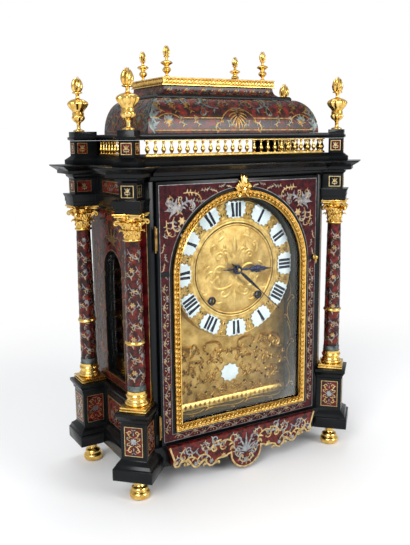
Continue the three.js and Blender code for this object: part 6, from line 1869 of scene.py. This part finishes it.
    def plaques(self) -> None:
        """Twelve enamel plaques with their numerals, and the small bare plaque below."""
        outline = [(x, y + 84.5) for x, y in self.plaque]
        outline += [(-x, y) for x, y in reversed(outline[1:-1])]
        plate = eased(filled(outline, (), 0, 2.0), 0.5, 60)
        whole = bmesh.new()
        absorb(whole, copies(plate, [by_matrix(
            Matrix.Rotation(math.radians(-30 * i), 4, "Z") @ Matrix.Translation((0, 0, self.plaque_face)),
        ) for i in range(12)]), by_matrix(face_frame(0, 0, self.centre_z, -90)))
        small = []
        for i in range(80):
            angle = i / 80 * FULL_TURN
            cusp = 1 - 0.17 * abs(math.sin(angle * 5))
            small.append((16.4 * cusp * math.sin(angle), self.plaque_z + 14.2 * cusp * math.cos(angle)))
        boss = eased(filled(small[::-1], (), 0.2, 2.1), 0.5, 60)
        absorb(whole, boss, by_matrix(face_frame(0, self.plate_y - 0.2, 0, -90)))
        piece("enamel_plaques", whole, ENAMEL, nodes=["dial_plaque"])
        ink = bmesh.new()
        for i, numeral in enumerate(self.numerals):
            marks = bmesh.new()
            for points, width in self.strokes_of(numeral):
                band(marks, points, width, 44.7, 44.88)
            turn = Matrix.Rotation(math.radians(-30 * i), 4, "Z")
            absorb(ink, marks, by_matrix(face_frame(0, 0, self.centre_z, -90) @ turn))
        piece("painted_numerals", ink, NAVY)

    def strokes_of(self, numeral: str) -> list[tuple[list[Point], float]]:
        """The bars of a Roman numeral, centred on its plaque.

        Args:
            numeral: Letters I, V and X.

        Returns:
            Paths with their widths.
        """
        low, high, thick, thin = self.bars
        widths = {"I": 5.3, "V": 7.9, "X": 7.7}
        total = sum(widths[c] for c in numeral)
        squeeze = min(1.0, 23.0 / total)
        x = -total * squeeze / 2
        made = []
        for letter in numeral:
            wide = widths[letter] * squeeze
            middle = x + wide / 2
            heavy = thick * squeeze
            reach = wide / 2 - heavy * 0.6
            if letter == "I":
                made.append(([(middle, low), (middle, high)], heavy))
            else:
                foot = 0 if letter == "V" else reach
                made.append(([(middle - reach, high), (middle + foot, low)], heavy))
                made.append(([(middle + reach, high), (middle - foot, low)], thin))
            x += wide
        return made

    def winding_rims(self) -> None:
        """Dark steel rims in the winding holes."""
        shape = bmesh.new()
        for side in (-1, 1):
            rim = lathe(flow([
                (4.3, 0), (4.3, 0), (4.3, 1.9), (4.9, 2.5), (5.9, 2.3), (6.3, 1.2), (6.3, 0), (6.3, 0), (4.3, 0),
            ], 2), 32)
            absorb(shape, rim, by_matrix(face_frame(side * self.winding[0], self.disc_front - 0.4, self.winding[1], -90)))
        piece("winding_hole_rims", shape, BLUED_STEEL)
        for side, node in ((1, "going_barrel"), (-1, "strike_barrel")):
            square = eased(filled(rectangle(2.45, 2.45), (), 0, 4.15), 0.3, 50)
            whole = bmesh.new()
            absorb(whole, square, by_matrix(face_frame(side * self.winding[0], self.disc_front + 6, self.winding[1], -90)))
            piece(f"{node}_winding_square", whole, STEEL, body_of(node))

    def build(self) -> None:
        """Make the dial."""
        self.lining()
        self.plate()
        self.ring()
        self.plaques()
        self.winding_rims()


@dataclass
class Hands:
    """The pierced hour hand and the plain minute hand."""

    centre_z: float = 294.0
    hour_y: float = -47.15
    minute_y: float = -50.75
    hour_angle: float = 93.5
    minute_angle: float = 132.0

    def place(self, shape: bmesh.types.BMesh, y: float, angle: float) -> bmesh.types.BMesh:
        """Turn a hand clockwise from upright and put it on the dial."""
        whole = bmesh.new()
        absorb(whole, shape, by_matrix(
            face_frame(0, y, self.centre_z, -90) @ Matrix.Rotation(math.radians(-angle), 4, "Z"),
        ))
        return whole

    def build(self) -> None:
        """Make both hands."""
        hour = chased(mirrored([
            *many(BRASS, SCROLL, (0.4, 22, 44, 15, 60, 220, 2.4), (0.4, 29, 34, 16, 70, 230, 2.6), (0.4, 38, 46, 12, 70, 220, 2.2),
                  (0.4, 12, 60, 9, 60, 200, 1.6)),
            *many(BRASS, LEAF, (0, 24, 56, 11, 30, 0, 3.6), (0.2, 32, 50, 11, 30, 0, 3.8), (0, 36, 24, 8, 50, 0, 3), (0, 42, 58, 8, 20, 0, 2.6)),
        ]) + [
            Stroke(BRASS, BAND, 0, 4, 90, 26, 0, 0, 2.8), Stroke(BRASS, LEAF, 0, 20, 90, 42, 0, 0, 5.4),
            Stroke(BRASS, LEAF, 0, -3, -90, 22, 0, 0, 2.6),
        ], 0.26)
        absorb(hour, lathe(flow([
            (4.6, 0), (4.6, 0), (4.6, 1.3), (5.4, 1.5), (6.6, 1.3), (7, 0.6), (7, 0), (7, 0), (4.6, 0),
        ], 2), 36), same)
        piece(
            "blued_hour_hand", self.place(hour, self.hour_y, self.hour_angle), BLUED_STEEL, "hour",
            ["hour_hand"],
        )
        minute = chased([
            Stroke(BRASS, LEAF, 0, -2, 90, 62, 0, 0, 5.0), Stroke(BRASS, BAND, 0, 20, 90, 76, 0, 0, 1.2),
            Stroke(BRASS, LEAF, 0, 0, -90, 16, 0, 0, 3.6),
        ], 0.28)
        absorb(minute, lathe(flow([
            (2.6, 0), (2.6, 0), (2.6, 1.5), (4, 1.5), (6, 1.1), (6, 0), (6, 0), (2.6, 0),
        ], 2), 36), same)
        piece(
            "blued_minute_hand", self.place(minute, self.minute_y, self.minute_angle), BLUED_STEEL, "minute",
            ["minute_hand"],
        )
        arbor = eased(node_copy("cannon_wheel"), 0.15, 50)
        piece("cannon_wheel_and_arbor", arbor, CLOCK_BRASS, "minute", ["cannon_wheel"])


@dataclass
class Movement:
    """What shows through the side windows and behind the back door."""

    brass: tuple[str, ...] = (
        "hour_wheel", "minute_wheel", "movement_frame", "going_barrel", "strike_barrel",
    )
    steel: tuple[str, ...] = ("pallets", "bell_hammer")
    bell: tuple[Point, ...] = (
        (33, 0), (33, 0), (32.2, 4), (29.6, 11), (24, 18.6), (15, 24), (6, 26.6), (0, 27), (0, 27), (0, 25), (0, 25),
        (6, 24.6), (14.4, 22), (22.6, 17), (27.8, 10.4), (30.4, 4), (31, 0), (31, 0), (33, 0),
    )
    bob: tuple[Point, ...] = (
        (0, -4.9), (0, -4.9), (10, -4.6), (20, -3), (25.4, -0.8), (26, 0), (25.4, 0.8), (20, 3), (10, 4.6), (0, 4.9),
    )
    hang_y: float = 54.0
    bob_z: float = 125.06
    hub_z: float = 330.5

    def build(self) -> None:
        """Make the bell and the pendulum, and finish the rest."""
        for nodes, finish, slot in ((self.brass, CLOCK_BRASS, "brass"), (self.steel, STEEL, "steel")):
            for node in nodes:
                piece(f"finished_{node}", eased(node_copy(node), 0.2, 50), finish, body_of(node), [node])
        whole = bmesh.new()
        absorb(whole, lathe(flow(self.bell, 3), 56), by_matrix(at(0, 17, 365.5)))
        piece("cast_bell", whole, CLOCK_BRASS, "case", ["bell"])
        swing = bmesh.new()
        absorb(swing, lathe(flow(self.bob, 3), 64), by_matrix(face_frame(0, self.hang_y, self.bob_z, -90)))
        rod = lathe([(0, self.bob_z), (1.5, self.bob_z), (1.5, self.hub_z - 2.5), (0, self.hub_z - 2.5)], 14)
        absorb(swing, rod, by_matrix(at(0, self.hang_y, 0)))
        hub = lathe([(1.9, -1.5), (5, -1.5), (5, 1.5), (1.9, 1.5), (1.9, -1.5)], 24)
        absorb(swing, hub, by_matrix(face_frame(0, self.hang_y, self.hub_z, -90)))
        piece("turned_pendulum", swing, CLOCK_BRASS, "escapement", ["pendulum"])


@dataclass
class Studio:
    """The pale floor, the soft lamps, the white room and the camera."""

    eye: tuple[float, float, float] = (-0.52198, -0.85061, 0.47573)
    yaw: float = 30.30
    pitch: float = -10.97
    roll: float = -0.63
    lens: float = 45.6
    near: float = 0.42
    far: float = 0.95

    def floor(self) -> None:
        """A wide matt white floor that keeps the clock's shadow and runs out into plain white."""
        material = bpy.data.materials.new("matt_white_studio_floor")
        material.use_nodes = True
        tree = material.node_tree
        tree.nodes.clear()
        place = add_node(tree, "ShaderNodeTexCoord").outputs["Object"]
        tooth = add_node(tree, "ShaderNodeTexNoise", {"Scale": 400.0}, {"Vector": place}).outputs["Fac"]
        relief = add_node(tree, "ShaderNodeBump", {"Distance": 0.00005}, {"Height": tooth}).outputs["Normal"]
        shader = add_node(tree, "ShaderNodeBsdfPrincipled", {
            "Base Color": linear("f4f4f4"), "Roughness": 0.7, "Specular IOR Level": 0.1,
        }, {"Normal": relief}).outputs["BSDF"]
        away = add_node(tree, "ShaderNodeVectorMath", {"operation": "LENGTH"}, {0: place}).outputs["Value"]
        share = add_node(tree, "ShaderNodeMapRange", {
            "interpolation_type": "SMOOTHSTEP", "From Min": self.near, "From Max": self.far,
        }, {"Value": away}).outputs["Result"]
        path = add_node(tree, "ShaderNodeLightPath").outputs["Is Camera Ray"]
        seen = add_node(tree, "ShaderNodeMath", {"operation": "MULTIPLY"}, {0: share, 1: path}).outputs[0]
        white = add_node(tree, "ShaderNodeEmission", {"Color": (1, 1, 1, 1), "Strength": 1.0}).outputs[0]
        mixed = add_node(tree, "ShaderNodeMixShader", links={0: seen, 1: shader, 2: white}).outputs[0]
        add_node(tree, "ShaderNodeOutputMaterial", links={"Surface": mixed})
        shape = bmesh.new()
        bmesh.ops.create_circle(shape, cap_ends=True, segments=96, radius=14)
        bmesh.ops.translate(shape, vec=(0, 0, -0.0004), verts=shape.verts[:])
        mesh = bpy.data.meshes.new("studio_floor")
        shape.to_mesh(mesh)
        shape.free()
        mesh.materials.append(material)
        ground = bpy.data.objects.new("studio_floor", mesh)
        bpy.context.scene.collection.objects.link(ground)

    def room(self) -> None:
        """A white room: a softer light on the clock than what the eye sees."""
        world = bpy.data.worlds.new("studio_room")
        bpy.context.scene.world = world
        world.use_nodes = True
        tree = world.node_tree
        tree.nodes.clear()
        path = add_node(tree, "ShaderNodeLightPath")
        seen = add_node(tree, "ShaderNodeMath", {"operation": "MAXIMUM"}, {
            0: path.outputs["Is Camera Ray"], 1: path.outputs["Is Transmission Ray"],
        }).outputs[0]
        glow = add_node(tree, "ShaderNodeBackground", {"Color": linear("f2f4f7"), "Strength": 0.62})
        white = add_node(tree, "ShaderNodeBackground", {"Color": (1, 1, 1, 1), "Strength": 1.0})
        mixed = add_node(tree, "ShaderNodeMixShader", links={
            0: seen, 1: glow.outputs[0], 2: white.outputs[0],
        })
        add_node(tree, "ShaderNodeOutputWorld", links={"Surface": mixed.outputs[0]})

    def lamp(self, name: str, place: Sequence[float], size: float, watts: float) -> None:
        """A soft square lamp that looks at the middle of the clock."""
        light = bpy.data.lights.new(name, "AREA")
        light.shape = "SQUARE"
        light.size = size
        light.energy = watts
        lamp = bpy.data.objects.new(name, light)
        bpy.context.scene.collection.objects.link(lamp)
        lamp.location = place
        lamp.rotation_euler = (Vector((0, 0, 0.3)) - Vector(place)).to_track_quat("-Z", "Y").to_euler()

    def camera(self) -> None:
        """The camera at the photograph's place and angle."""
        yaw, pitch, roll = (math.radians(v) for v in (self.yaw, self.pitch, self.roll))
        ahead = Vector((
            math.sin(yaw) * math.cos(pitch), math.cos(yaw) * math.cos(pitch), math.sin(pitch),
        ))
        flat = ahead.cross(Vector((0, 0, 1))).normalized()
        upward = flat.cross(ahead)
        right = flat * math.cos(roll) + upward * math.sin(roll)
        up = right.cross(ahead)
        data = bpy.data.cameras.new("studio_camera")
        data.lens = self.lens
        data.sensor_width = 36
        data.clip_start = 0.02
        camera = bpy.data.objects.new("studio_camera", data)
        bpy.context.scene.collection.objects.link(camera)
        camera.matrix_world = Matrix((
            (right.x, up.x, -ahead.x, self.eye[0]), (right.y, up.y, -ahead.y, self.eye[1]),
            (right.z, up.z, -ahead.z, self.eye[2]), (0, 0, 0, 1),
        ))
        bpy.context.scene.camera = camera

    def build(self) -> None:
        """Set the scene."""
        self.floor()
        self.room()
        self.lamp("key_softbox", (-1.9, -1.5, 1.7), 1.1, 46)
        self.lamp("fill_softbox", (1.2, -2.3, 1.2), 1.1, 37)
        self.lamp("top_softbox", (0.2, 0.4, 2.2), 1.0, 12)
        self.camera()
        bpy.context.scene.view_settings.view_transform = "Standard"


def main() -> None:
    """Build the clock and its studio in order."""
    logging.basicConfig(level=logging.INFO, format="%(name)s %(message)s")
    Studio().build()
    for part in (
        Feet(), Carcase(), Blocks(), Columns(), CaseSides(), Panes(), Gallery(), Dome(),
        Finials(), Door(), Apron(), Dial(), Hands(), Movement(),
    ):
        part.build()
        LOG.info("built %s", type(part).__name__)


if __name__ == "__main__":
    main()
